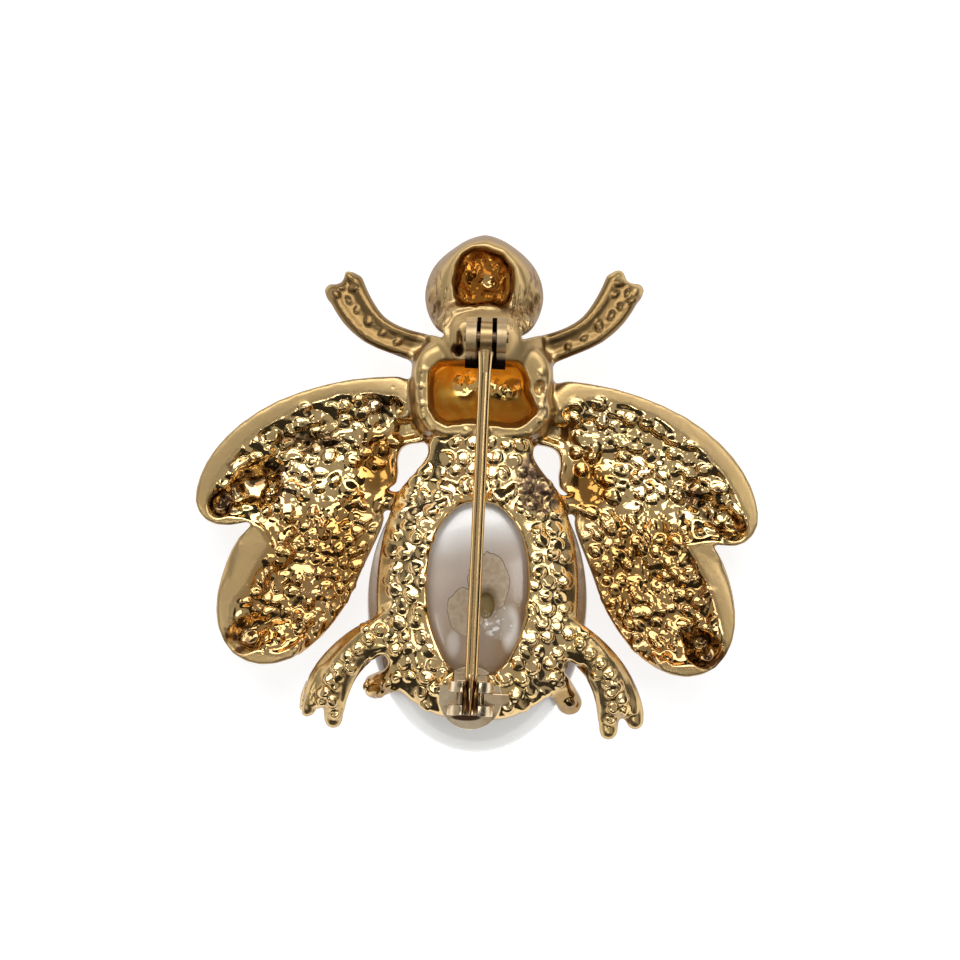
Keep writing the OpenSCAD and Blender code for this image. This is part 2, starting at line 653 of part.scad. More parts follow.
module catch_base() color("silver") on_pin_line() translate([0, -pin_reach, 0]) {
    difference() {
        union() {
            translate([0, 0, catch_pad_h]) cylinder(d = catch_base_d, h = catch_base_t, $fn = 64);
            translate([-band_d / 4, -roller_l / 2, catch_pad_h]) cube([band_d / 2, roller_l, catch_base_t]);
            for (y = [-roller_l / 2, roller_l / 2 - band_w])
                translate([0, y + band_w, pin_h]) bar_y(band_d / 2, band_d / 2, band_w);
        }
        translate([0, roller_l, pin_h]) bar_y(roller_bore_r, roller_bore_r, 2 * roller_l);
        translate([-mouth_w / 2, -roller_l, pin_h]) cube([mouth_w, 2 * roller_l, band_d]);
    }
}

module catch_roller() color("gold") on_pin_line() translate([0, -pin_reach, pin_h]) {
    lever_w = roller_l - 2 * (band_w + roller_gap);
    difference() {
        union() {
            translate([0, roller_l / 2, 0]) bar_y(roller_d / 2, roller_d / 2, roller_l);
            translate([0, -lever_w / 2, -lever_t / 2]) cube([lever_reach, lever_w, lever_t]);
        }
        translate([0, roller_l, 0]) bar_y(mouth_w / 2, mouth_w / 2, 2 * roller_l);
        translate([-mouth_w / 2, -roller_l, 0]) cube([mouth_w, 2 * roller_l, roller_d]);
    }
}

casting();
pearl();
hinge_bracket();
hinge_rivet();
pin_stem();
catch_base();
catch_roller();
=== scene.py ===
import json
import math
import random

import bpy
import numpy as np
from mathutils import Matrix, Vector

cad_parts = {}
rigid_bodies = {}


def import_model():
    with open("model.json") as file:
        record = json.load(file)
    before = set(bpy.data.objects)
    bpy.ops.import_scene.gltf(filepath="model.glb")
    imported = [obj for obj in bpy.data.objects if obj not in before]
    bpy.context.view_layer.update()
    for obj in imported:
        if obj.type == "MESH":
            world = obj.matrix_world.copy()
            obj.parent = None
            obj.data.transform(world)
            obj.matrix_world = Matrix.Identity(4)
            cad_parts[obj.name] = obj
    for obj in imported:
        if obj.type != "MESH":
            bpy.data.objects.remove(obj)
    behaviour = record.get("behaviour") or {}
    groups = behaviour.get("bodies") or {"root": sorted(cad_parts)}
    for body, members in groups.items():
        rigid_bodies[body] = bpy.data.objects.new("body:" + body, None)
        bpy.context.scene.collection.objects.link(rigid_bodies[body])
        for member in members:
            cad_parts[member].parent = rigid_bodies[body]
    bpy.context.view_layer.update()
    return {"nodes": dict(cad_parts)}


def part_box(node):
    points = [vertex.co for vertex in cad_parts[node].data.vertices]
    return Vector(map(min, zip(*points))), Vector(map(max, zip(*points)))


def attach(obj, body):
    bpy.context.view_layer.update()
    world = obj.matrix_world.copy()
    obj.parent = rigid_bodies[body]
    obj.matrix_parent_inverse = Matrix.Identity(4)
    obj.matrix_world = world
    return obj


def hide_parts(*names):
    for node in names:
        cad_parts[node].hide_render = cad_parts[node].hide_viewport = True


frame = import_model()
nodes = frame["nodes"]
MM = 0.001

# ---------------------------------------------------------------------------------------------
# Camera. The photograph looks straight down on the back of the brooch from far away, and the
# brooch lies a little askew in it, so the camera is rolled by the same angle.
VIEW_WIDTH, VIEW_FROM = 80, 600  # the picture shows 80 mm across at the height of the wings
WINGS_HEIGHT, PICTURE_MIDDLE, ASKEW = 5, 1.1667, 1.3
camera = bpy.data.objects.new("camera", bpy.data.cameras.new("camera"))
bpy.context.scene.collection.objects.link(camera)
camera.location = (0.0, PICTURE_MIDDLE * MM, (VIEW_FROM + WINGS_HEIGHT) * MM)
camera.rotation_euler = (0.0, 0.0, math.radians(ASKEW))
camera.data.sensor_width = 36
camera.data.lens = camera.data.sensor_width * VIEW_FROM / VIEW_WIDTH
camera.data.clip_start, camera.data.clip_end = 0.01, 20
bpy.context.scene.camera = camera


# ---------------------------------------------------------------------------------------------
# The pearl: an imitation pearl of glass under a pearly lacquer, held behind the frame's window.
# The lacquer has peeled in two lobes round its drilled hole, and it is crackled next to them.
class Level:
    """A number or colour in a finish. Python's operators add the Math nodes that work it out."""

    def __init__(self, nodes, socket):
        self.nodes, self.socket = nodes, socket

    def math(self, operation, *others):
        return self.nodes.node("Math", {"operation": operation}, dict(enumerate((self, *others))))

    def __add__(self, other):
        return self.math("ADD", other)

    __radd__ = __add__

    def __sub__(self, other):
        return self.math("SUBTRACT", other)

    def __rsub__(self, other):
        return self.nodes.node("Math", {"operation": "SUBTRACT"}, {0: other, 1: self})

    def __neg__(self):
        return 0.0 - self

    def __mul__(self, other):
        return self.math("MULTIPLY", other)

    __rmul__ = __mul__

    def __truediv__(self, other):
        return self.math("DIVIDE", other)

    def held(self):
        """Held between 0 and 1."""
        return self.nodes.node("Clamp", {}, {0: self})

    def step(self, low, high):
        """0 below low and 1 above high, with a soft step between them."""
        return self.nodes.node("MapRange", {"interpolation_type": "SMOOTHSTEP"},
                               {0: self, 1: low, 2: high})


class Nodes:
    """A tree of shader nodes, whose methods add nodes and give back what these work out."""

    def __init__(self, tree, coordinates):
        self.tree = tree
        self.place = self.node("TexCoord", {}, {}, coordinates)

    def node(self, kind, settings, sockets, out=0):
        new = self.tree.nodes.new("ShaderNode" + kind)
        for name, value in settings.items():
            setattr(new, name, value)
        for key, value in sockets.items():
            self.put(new.inputs[key], value)
        return Level(self, new.outputs[out])

    def put(self, socket, value):
        if isinstance(value, Level):
            self.tree.links.new(value.socket, socket)
        else:
            socket.default_value = value

    def split(self, place):
        """The x, y and z of a place or a direction."""
        outputs = self.node("SeparateXYZ", {}, {0: place}).socket.node.outputs
        return [Level(self, socket) for socket in outputs]

    def grain(self, scale, detail=2.0, rough=0.5, shift=0.0):
        """Noise whose lumps are about 1 / scale millimetres wide."""
        place = self.place
        if shift:
            place = self.node("VectorMath", {"operation": "ADD"}, {0: place, 1: (shift,) * 3})
        return self.node("TexNoise", {}, {"Vector": place, "Scale": scale, "Detail": detail,
                                          "Roughness": rough}, "Fac")


class Finish(Nodes):
    """A material with one Principled shader, whose sockets are set by name."""

    def __init__(self, name, **fixed):
        self.material = bpy.data.materials.new(name)
        self.material.use_nodes = True
        super().__init__(self.material.node_tree, "Object")
        self.place = self.node("Mapping", {}, {"Vector": self.place, "Scale": (1 / MM,) * 3})
        self.shader = self.tree.nodes["Principled BSDF"]
        self.set(**fixed)

    def set(self, **sockets):
        for name, value in sockets.items():
            self.put(self.shader.inputs[name.replace("_", " ")], value)

    def mixed(self, share, first, second):
        return self.node("Mix", {"data_type": "RGBA"}, {0: share, 6: first, 7: second}, 2)

    def bump(self, height, depth, below=None):
        """Bump of a height from 0 to 1 that stands depth millimetres proud."""
        sockets = {"Strength": 1.0, "Distance": depth * MM, "Height": height}
        if below is not None:
            sockets["Normal"] = below
        return self.node("Bump", {}, sockets)

    def near(self, x, y, rx, ry, edge=0.2, wobble=None):
        """1 inside an oval round a point of the back, in millimetres, and 0 outside it."""
        here_x, here_y, _ = self.split(self.place)
        u, v = (here_x - x) / rx, (here_y - y) / ry
        far = u * u + v * v
        if wobble is not None:
            far = far + wobble
        return 1 - far.step(1 - edge, 1 + edge)

    def patches(self, *ovals):
        """1 inside any of the ovals, each of which is given as near takes it."""
        total = self.near(*ovals[0])
        for oval in ovals[1:]:
            total = total + self.near(*oval)
        return total.held()

    def strokes(self, stretch, scale, detail, turn=0.0):
        """Noise drawn out along one way, as drawing, brushing or a graver leaves it."""
        place = self.node("Mapping", {}, {"Vector": self.place, "Rotation": (0, 0, turn),
                                          "Scale": stretch})
        return self.node("TexNoise", {}, {"Vector": place, "Scale": scale, "Detail": detail}, "Fac")


def only(piece):
    """Selects one piece alone and makes it the active one."""
    bpy.ops.object.select_all(action="DESELECT")
    piece.select_set(True)
    bpy.context.view_layer.objects.active = piece


pearl_low, pearl_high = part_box("pearl")
pearl_middle = (pearl_low + pearl_high) / 2
bpy.ops.object.select_all(action="DESELECT")
bpy.ops.mesh.primitive_uv_sphere_add(segments=160, ring_count=96, radius=1.0, location=pearl_middle,
                                     scale=(pearl_high - pearl_low) / 2)
pearl = bpy.context.object
pearl.name = "pearl_bead"
only(pearl)
bpy.ops.object.transform_apply(location=True, rotation=True, scale=True)
HOLE_X, HOLE_Y, HOLE_DEPTH = 0.75, -9.2, 0.9
for vertex in pearl.data.vertices:
    if vertex.co.z > pearl_middle.z:
        off = (((vertex.co.x / MM - HOLE_X) / 0.75) ** 2
               + ((vertex.co.y / MM - HOLE_Y) / 1.15) ** 2)
        vertex.co.z -= HOLE_DEPTH * MM * min(1.0, max(0.0, (1.6 - off) / 0.9))
bpy.ops.object.shade_smooth()

lacquer = Finish("pearl_lacquer", Coat_Roughness=0.08, IOR=1.6, Emission_Strength=0.2)
wavy = (lacquer.grain(0.9, 3.0) - 0.5) * 0.9
peeled = lacquer.patches((-0.9, -9.7, 1.55, 1.95, 0.06, wavy), (0.9, -7.4, 1.75, 2.5, 0.06, wavy))
hole = lacquer.near(HOLE_X, HOLE_Y, 0.7, 1.1, 0.15)
crackle = lacquer.near(1.8, -10.5, 1.2, 1.3, 0.5, wavy)
cracks = lacquer.grain(1.7, 4.0, 0.6, 3.0).step(0.53, 0.58)
cloudy = lacquer.grain(0.25, 4.0).step(0.3, 0.7)
skin = lacquer.mixed(cloudy, (0.50, 0.41, 0.34, 1), (0.57, 0.49, 0.42, 1))
# The lower end and right side mirror the dark of the room, the upper end and the tip its lights
across, along, _ = lacquer.split(lacquer.place)
shaded = (-along).step(6.0, 13.5) * 0.8 + across.step(0.8, 3.2) * (-along).step(3.5, 7.0) * 0.6
skin = lacquer.mixed(shaded.held(), skin, (0.31, 0.20, 0.11, 1))
bright = ((along - across * 0.25).step(-5.5, -2.0) + (-along).step(15.8, 17.2)).held()
skin = lacquer.mixed(bright * 0.9, skin, (0.97, 0.97, 0.95, 1))
glint = (lacquer.near(2.8, -11.1, 0.7, 1.7, 0.9)
         + lacquer.near(-1.9, -12.4, 0.5, 1.0, 0.95, wavy) * 0.6).held()
skin = lacquer.mixed(glint * 0.75, skin, (0.92, 0.88, 0.82, 1))
skin = lacquer.mixed(crackle * 0.8, skin, (0.42, 0.35, 0.27, 1))
skin = lacquer.mixed(crackle * cracks, skin, (0.88, 0.84, 0.80, 1))
bare = lacquer.mixed(lacquer.grain(2.5, 4.0).step(0.35, 0.65),
                     (0.40, 0.29, 0.18, 1), (0.48, 0.37, 0.25, 1))
torn_edge = peeled.step(0.05, 0.4) * (1 - peeled.step(0.6, 0.95))
shown = lacquer.mixed(torn_edge * 0.8, lacquer.mixed(peeled, skin, bare), (0.20, 0.14, 0.09, 1))
shown = lacquer.mixed(hole, shown, (0.19, 0.125, 0.025, 1))
lit_tip = lacquer.mixed((-along).step(15.8, 17.6), (0.0, 0.0, 0.0, 1), (0.95, 0.96, 0.94, 1))
lacquer.set(Base_Color=shown, Emission_Color=lit_tip,
            Roughness=0.16 + peeled * 0.3 + crackle * 0.2, Coat_Weight=0.7 - peeled * 0.6,
            Normal=lacquer.bump((1 - peeled) * 0.8 + crackle * cracks * 0.4, 0.09,
                                lacquer.bump(lacquer.grain(4.0, 4.0), 0.012)))
pearl.data.materials.clear()
pearl.data.materials.append(lacquer.material)
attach(pearl, "brooch")
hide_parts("pearl")

# ---------------------------------------------------------------------------------------------
# The casting: head, thorax, wings, frame and legs, cast in one piece in white metal and plated
# with gold. It starts from the plain solid, and gets its cast relief: beads on the frame and
# legs, lumps in the wings, crinkles in the hollows and the solder round the hinge.
COARSE = 0.20  # millimetres between points while the large forms are set
FINE = 0.145  # and for the relief
MOST_TRIANGLES = 196000  # of the finished casting
WELD = 0.002  # points closer than this are one
LOW_X, HIGH_X, LOW_Y, HIGH_Y, STEP = -25.0, 25.0, -22.0, 23.0, 0.06  # the map of the relief


def finish_with(piece, kind, **settings):
    """Adds a modifier to a piece and applies it."""
    only(piece)
    modifier = piece.modifiers.new(kind.lower(), kind)
    for name, value in settings.items():
        setattr(modifier, name, value)
    bpy.ops.object.modifier_apply(modifier=modifier.name)


def points(piece):
    """A piece's points in millimetres and the directions that they face, as columns."""
    spots = np.empty(len(piece.data.vertices) * 3)
    faces = np.empty_like(spots)
    piece.data.vertices.foreach_get("co", spots)
    piece.data.vertices.foreach_get("normal", faces)
    return (spots / MM).reshape(-1, 3).T.copy(), faces.reshape(-1, 3).T


def put_points(piece, spots):
    piece.data.vertices.foreach_set("co", (spots.T * MM).ravel())
    piece.data.update()


def off_line(x, y, line, closed=False):
    """Distance from points to a line of points, or to a closed outline."""
    ends = line[1:] + line[:1] if closed else line[1:]
    best = np.full(x.shape, 99.0)
    for (ax, ay), (bx, by) in zip(line, ends):
        dx, dy = bx - ax, by - ay
        share = np.clip(((x - ax) * dx + (y - ay) * dy) / (dx * dx + dy * dy), 0, 1)
        best = np.minimum(best, np.hypot(x - ax - share * dx, y - ay - share * dy))
    return best


def depth_in(x, y, outline):
    """Distance from a closed outline, positive inside it and negative outside."""
    within = np.zeros(x.shape, bool)
    for (ax, ay), (bx, by) in zip(outline, outline[1:] + outline[:1]):
        if ay != by:
            within ^= ((ay > y) != (by > y)) & (x < ax + (bx - ax) * (y - ay) / (by - ay))
    return np.where(within, 1, -1) * off_line(x, y, outline, True)


def ease(v, low, high):
    """0 below low and 1 above high, with a soft step between them."""
    v = np.clip((v - low) / (high - low), 0, 1)
    return v * v * (3 - 2 * v)


def soften(piece, share, factor, times):
    """Smooths a piece where share, a number for each point, is above 0."""
    group = piece.vertex_groups.new(name="soft")
    levels = np.round(share, 1)
    for level in np.unique(levels[levels > 0]):
        group.add(np.flatnonzero(levels == level).tolist(), float(level), "REPLACE")
    finish_with(piece, "SMOOTH", factor=factor, iterations=times, vertex_group=group.name)
    piece.vertex_groups.clear()


def rework(piece, *steps):
    """Runs edit mode's operators on a piece, each given with its settings."""
    only(piece)
    bpy.ops.object.mode_set(mode="EDIT")
    for operator, settings in steps:
        operator(**settings)
    bpy.ops.object.mode_set(mode="OBJECT")


casting = nodes["casting"].copy()
casting.data = casting.data.copy()
casting.name = "cast_body"
casting.parent = None
for key in list(casting.keys()):
    del casting[key]
bpy.context.scene.collection.objects.link(casting)
rework(casting, (bpy.ops.mesh.select_all, {"action": "SELECT"}),
       (bpy.ops.mesh.remove_doubles, {"threshold": WELD * MM}))
finish_with(casting, "REMESH", mode="VOXEL", voxel_size=COARSE * MM)

# Outlines on the back, in millimetres: the wings' lumpy fields, the head, the two hollows
LEFT_FIELD = [
    (-6.4, 7.2), (-7.6, 8.1), (-9.5, 8.2), (-12, 8.0), (-15, 6.9), (-18, 5.2), (-19.6, 3.9),
    (-21.2, 1.9), (-22.3, 0), (-22.7, -1.4), (-21.8, -2.4), (-19.8, -2.5), (-18.2, -3.2),
    (-17.3, -4.6), (-18.2, -6), (-19.3, -8.2), (-20.4, -9.6), (-20.5, -11.4), (-19.8, -12.6),
    (-18.6, -13.5), (-16.6, -13.7), (-15, -12.8), (-13.4, -11.4), (-12, -9.4), (-10.8, -6.9),
    (-9.8, -4), (-9.2, -1.5), (-8.6, 1.2), (-7.8, 4.6)]
RIGHT_FIELD = [
    (6.7, 7), (8, 8), (10, 8.1), (12.2, 7.7), (14.6, 6.7), (16.6, 5.4), (18.6, 3.9), (20.3, 2.1),
    (21.4, 0.3), (22.3, -1.4), (22.3, -2.8), (20.8, -3.6), (18.8, -3.6), (17.4, -3.9),
    (18.4, -5.6), (19.4, -7.6), (20.1, -9.6), (20.6, -11.4), (20.3, -12.8), (18.9, -13.9),
    (17, -14), (15.3, -13.4), (13.6, -12), (12, -10), (10.9, -7.6), (10.1, -5), (9.2, -2.6),
    (8.9, 0.4), (8.2, 4.4)]
OUTER_POINTS = 21  # so many of a field's points lie along its outer side
HEAD = [
    (-4.1, 14), (-4.9, 16), (-4.9, 17), (-4.65, 18), (-4.1, 19), (-3.1, 20), (-1.7, 21),
    (0, 21.6), (1.8, 21), (3.2, 20), (4.1, 19), (4.7, 18), (5, 17), (5.05, 16), (4, 14)]
HOLLOW = [
    (-0.07, 20.35), (1.45, 19.85), (2.34, 18.7), (2.45, 17.25), (2.1, 15.95), (1.4, 15.5),
    (0.5, 15.75), (-0.7, 15.55), (-1.97, 15.55), (-2.47, 16.6), (-2.57, 17.55),
    (-2.36, 18.85), (-1.9, 19.8), (-1.1, 20.3)]
CAVITY = [
    (-3.6, 10.9), (-4.3, 10.2), (-4.45, 8.5), (-4.3, 7), (-3.7, 6.1), (-2.8, 5.65), (-0.8, 5.9),
    (0.8, 5.75), (2, 5.6), (3.2, 5.7), (4, 6.2), (4.6, 6.9), (4.3, 7.8), (3.9, 8.6), (3.9, 9.5),
    (3.5, 10.4), (3, 11), (0, 11.05)]


def in_fields(x, y):
    """Distance into the wings' lumpy fields, negative outside them."""
    return np.maximum(depth_in(x, y, LEFT_FIELD), depth_in(x, y, RIGHT_FIELD))


def crest(x, y):
    """Height of a wing's back where its smooth outer band starts."""
    upper = 1 - np.hypot(abs(x) - 5.8, y - 6.9) / 19.6
    lower = 1 - np.hypot(abs(x) - 8.2, y + 2.5) / 16.4
    return 5.25 + 1.6 * np.maximum(0.0, np.maximum(upper, lower)) ** 1.3


def outer_side(x, y):
    """Whether a point lies on the outer side of a wing, where the smooth band is wide."""
    x = abs(x)
    return ((x > 9) | (y > 6)) & ((y > 6) | ((x - 8.6) * -12.5 - (y + 1) * 5.9 < -6))


spots, faces = points(casting)
x, y, z = spots
up = faces[2]
on_back = (up > 0.05) & (z > 3.0)
for field, side in ((LEFT_FIELD, -1), (RIGHT_FIELD, 1)):
    # The band is nearly level and rolls down at the wing's edge, a little further out beside the
    # left wings' notch. Inside it the ground sinks a little.
    past_field = -depth_in(x, y, field)
    on_band = (past_field > 0) & outer_side(x, y)
    band = np.maximum(past_field, 0.0)
    width = 2.35 + np.where(x < -17, 0.9 * np.exp(-((y + 5.0) / 1.8) ** 2), 0)
    outer = np.maximum(2.9, crest(x, y) - 0.06 * band - 1.7 * (band / width) ** 7)
    inwards = off_line(x, y, field[:OUTER_POINTS])
    sunk = crest(x, y) - 0.85 * ease(inwards, 0.0, 3.2) - 0.35 * ease(inwards, 0.0, 0.55)
    root = 6.0 + 0.7 * ease(4.5 - y, 0, 2) + 1.2 * ease(0.5 - y, 0, 2)
    on_wing = on_back & (x * side > 6) & (past_field < np.where(outer_side(x, y), 3.4, 1.7))
    share = np.where(on_wing, np.where(on_band, 1.0, ease(abs(x), root, root + 1.8)), 0)
    z += share * (np.where(on_band, outer, sunk) - z)

# The head's back is a smooth ring that rolls down to its outline, round a deep hollow
past_hollow, in_head = -depth_in(x, y, HOLLOW), depth_in(x, y, HEAD)
outwards = np.clip(past_hollow, 0, 9)
outwards = outwards / (outwards + np.clip(in_head, 0.02, 9))
share = np.where(on_back & (in_head > 0) & (past_hollow > 0), ease(y, 14.2, 15.6), 0)
z += share * (7.85 - 3.6 * outwards ** 3.2 - z)
share = np.where((up > -0.2) & (z > 3.2) & (past_hollow < 0) & (y > 15), 1.0, 0)
floor = 3.5 + 2.4 * ((x / 2.5) ** 2 + ((y - 17.9) / 2.4) ** 2)
z += share * (np.maximum(floor, 7.6 + 9 * np.minimum(past_hollow, 0)) - z)

# The thorax cavity is a deep smooth bowl
in_cavity = depth_in(x, y, CAVITY)
share = np.where((up > -0.2) & (z > 3.9) & (in_cavity > 0) & (y < 11.1), 1.0, 0)
floor = (4.3 + 2.0 * ((x / 4.4) ** 2 + ((y - 8.5) / 2.7) ** 2)
         + 0.9 * np.exp(-(x / 0.8) ** 2) * (8.8 - y) / 3)
z += share * (np.maximum(floor, 9.2 - 9 * np.maximum(in_cavity, 0)) - z)

# Solder that has run out round the hinge, thickest in a ridge round its left side
HINGE_X, HINGE_Y = 0.25, 12.95
SOLDER = [(1.0, 15.3), (-0.2, 15.6), (-1.5, 15.4), (-2.6, 15.0), (-3.1, 14.2), (-3.2, 13.3),
          (-2.8, 12.3)]
r = np.hypot(x - HINGE_X, (y - HINGE_Y) * np.where(y > HINGE_Y, 1.7, 0.95))
mound = np.where(on_back & (in_cavity < 0.0) & (y > 10.6),
                 10.4 - 0.42 * np.maximum(0, r - 2.0) ** 1.7, 0)
run = off_line(x, y, SOLDER)
ridge_top = np.where(on_back & (in_cavity < -0.2) & (past_hollow > 0) & (run < 0.75),
                     9.2 + 0.8 * ease(14.9 - y, 0, 2.0) - 1.6 * (run / 0.75) ** 2, 0)
z[:] = np.maximum(z, np.maximum(np.where(mound > 8.0, mound, 0), ridge_top))

# The hind legs slope gently down to their feet and are flat on top. Each point of a leg has its
# top's height. LIFT is how far a leg is lifted at each distance down the brooch.
LEG = [(8.2, -11.8, 9.3), (9.0, -12.4, 9.0), (9.9, -13.3, 8.65), (10.6, -14.2, 8.3),
       (11.2, -15.2, 7.95), (11.6, -16.2, 7.6), (11.8, -17.2, 7.3), (12.1, -19.0, 6.9)]
LEG_LINE = [spot[:2] for spot in LEG]
LEG_REACH = 2.4
LIFT_AT, LIFT = (12.0, 13.3, 14.2, 15.2, 16.2, 17.2), (0.0, 0.45, 0.65, 0.9, 1.35, 1.7)
on_leg = ((off_line(abs(x), y, LEG_LINE) < LEG_REACH) & (y < -12)
          & ((abs(x) > 9.2) | (y > -14)))
z += np.where(on_leg, np.interp(-y, LIFT_AT, LIFT), 0)
for side in (-1, 1):
    out = 0.2 if side < 0 else 0.0
    for (ax, ay, az), (bx, by, bz) in zip(LEG, LEG[1:-1]):
        for s in (0.0, 0.25, 0.5, 0.75):
            r = np.hypot(x - side * (ax + (bx - ax) * s + out), y - ay - (by - ay) * s)
            top = az + (bz - az) * s - 0.1 * r * r - 1.2 * np.maximum(r - 0.85, 0)
            z[:] = np.where(on_back & (r < 1.2), np.maximum(z, top), z)

# The thorax ring is flat on top, with a crisp inner edge
past_cavity = -in_cavity
ring_top = 9.3 - 0.06 * past_cavity - 1.8 * (np.clip(past_cavity, 0, 3) / 1.5) ** 5
ring = (on_back & (past_cavity > 0) & (past_cavity < 1.8) & (y > 4.6) & (y < 11.3)
        & (abs(x) < 6.6))
z[:] = np.where(ring, np.maximum(z, ring_top), z)
put_points(casting, spots)
finish_with(casting, "REMESH", mode="VOXEL", voxel_size=FINE * MM)

# The voxels' steps are smoothed away: most under the lumps, less where forms are crisp
x, y, z = points(casting)[0]
under_lumps = (((in_fields(x, y) > 0.2) & (z > 3.2))
               | ((abs(x) < 8.4) & (y > -19) & (y < 4.8) & (z > 7.2)))
finish_with(casting, "SMOOTH", factor=0.5, iterations=6)
soften(casting, np.where(under_lumps, 1.0, 0), 0.9, 22)
x, y, z = points(casting)[0]
bowl = (depth_in(x, y, CAVITY) > 0.5) & (z < 8) & (z > 3.6)
legs = (abs(x) > 5.6) & ((y < -14.5) | ((y < -9.8) & (abs(x) < 9)))
front_legs = (abs(x) > 5.2) & (y > 9.8) & (z < 8.6)
ring = (y > 13.6) & (z > 3) & (abs(x) < 5.6) & (depth_in(x, y, HOLLOW) < -0.55)
webs = (abs(x) > 5.9) & (abs(x) < 8.2) & (y > 2.6) & (y < 7.4) & (z > 2.5)
share = np.where(bowl | ring | webs, 1.0, np.where(front_legs, 0.8, np.where(legs, 0.5, 0.0)))
soften(casting, share, 0.8, 14)

# The cast relief: a map of heights over the back, on which every lump, bead and ridge is set
GX, GY = np.meshgrid(np.arange(LOW_X, HIGH_X, STEP), np.arange(LOW_Y, HIGH_Y, STEP))
relief = np.zeros(GX.shape)
chance = random.Random(11)


def stamp(x, y, along, across, high, turn=0.0, slope=(0.0, 0.0), power=1.0):
    """Sets a lump on the map, with its half sizes and height in millimetres and its top's slope.

    A height below 0 sinks a dip instead.
    """
    reach = max(along, across)
    rows = slice(int((y - reach - LOW_Y) / STEP), int((y + reach - LOW_Y) / STEP) + 2)
    columns = slice(int((x - reach - LOW_X) / STEP), int((x + reach - LOW_X) / STEP) + 2)
    px, py = GX[rows, columns] - x, GY[rows, columns] - y
    u = (px * math.cos(turn) + py * math.sin(turn)) / along
    v = (py * math.cos(turn) - px * math.sin(turn)) / across
    shape = high * np.clip(1 - u * u - v * v, 0, 1) ** power
    if high > 0:
        shape = np.clip(np.minimum(shape, high * 0.62 + slope[0] * px + slope[1] * py), 0, None)
    here = relief[rows, columns]
    here[:] = np.maximum(here, shape) if high > 0 else here + shape


def wander(pitch, seed):
    """Smooth random heights from -1 to 1 over the map, with swells about pitch millimetres wide."""
    wide, long = int((HIGH_X - LOW_X) / pitch) + 2, int((HIGH_Y - LOW_Y) / pitch) + 2
    dots = np.random.default_rng(seed).uniform(-1, 1, (long, wide))
    cx, cy = (GX - LOW_X) / pitch, (GY - LOW_Y) / pitch
    ix, iy = cx.astype(int), cy.astype(int)
    fx, fy = ease(cx - ix, 0, 1), ease(cy - iy, 0, 1)
    near = dots[iy, ix] * (1 - fx) + dots[iy, ix + 1] * fx
    far = dots[iy + 1, ix] * (1 - fx) + dots[iy + 1, ix + 1] * fx
    return near * (1 - fy) + far * fy


def read(grid, x, y):
    """Heights of a map at places in millimetres."""
    cx = np.clip((x - LOW_X) / STEP, 0, grid.shape[1] - 2)
    cy = np.clip((y - LOW_Y) / STEP, 0, grid.shape[0] - 2)
    ix, iy = cx.astype(int), cy.astype(int)
    fx, fy = cx - ix, cy - iy
    near = grid[iy, ix] * (1 - fx) + grid[iy, ix + 1] * fx
    far = grid[iy + 1, ix] * (1 - fx) + grid[iy + 1, ix + 1] * fx
    return near * (1 - fy) + far * fy


def facet(share):
    """A slope for a lump's top: for a share of them up to the light, for the rest any way."""
    if chance.random() < share:
        return chance.uniform(-0.25, 0.33), chance.uniform(-0.5, -0.27)
    turn, steep = chance.uniform(0, 2 * math.pi), chance.uniform(0.1, 0.55)
    return steep * math.cos(turn), steep * math.sin(turn)


def crumple(pitch, seed):
    """Heights of ground broken up into small leaning faces, about pitch millimetres wide."""
    draw = np.random.default_rng(seed)
    wide, long = int((HIGH_X - LOW_X) / pitch) + 3, int((HIGH_Y - LOW_Y) / pitch) + 3
    dots = draw.uniform(0.1, 0.9, (2, long, wide))
    slopes = draw.uniform(-0.24, 0.24, (2, long, wide))
    tops = draw.uniform(-0.1, 0.1, (long, wide))
    cx, cy = (GX - LOW_X) / pitch, (GY - LOW_Y) / pitch
    best = np.full(GX.shape, -9.0)
    for i in (-1, 0, 1):
        for j in (-1, 0, 1):
            ix = np.clip(cx.astype(int) + i, 0, wide - 1)
            iy = np.clip(cy.astype(int) + j, 0, long - 1)
            px, py = (cx - ix - dots[0, iy, ix]) * pitch, (cy - iy - dots[1, iy, ix]) * pitch
            face = (tops[iy, ix] + slopes[0, iy, ix] * px + slopes[1, iy, ix] * py
                    - 0.3 * (px * px + py * py))
            best = np.maximum(best, face)
    return best


def is_upper(x, y):
    """Whether a place is on an upper wing, not on a lower one."""
    return y > -0.4 - 0.24 * (abs(x) - 8.5)


def root_web(x, y):
    """Whether a place is on the smooth webs at the wings' roots, where nothing is cast on."""
    return math.hypot(abs(x) - 9.0, y - 0.3) < 1.3


VALLEY = [(17.2, -3.4), (14.6, -1.6), (11.8, -0.6)]  # the plain strip between the two wings


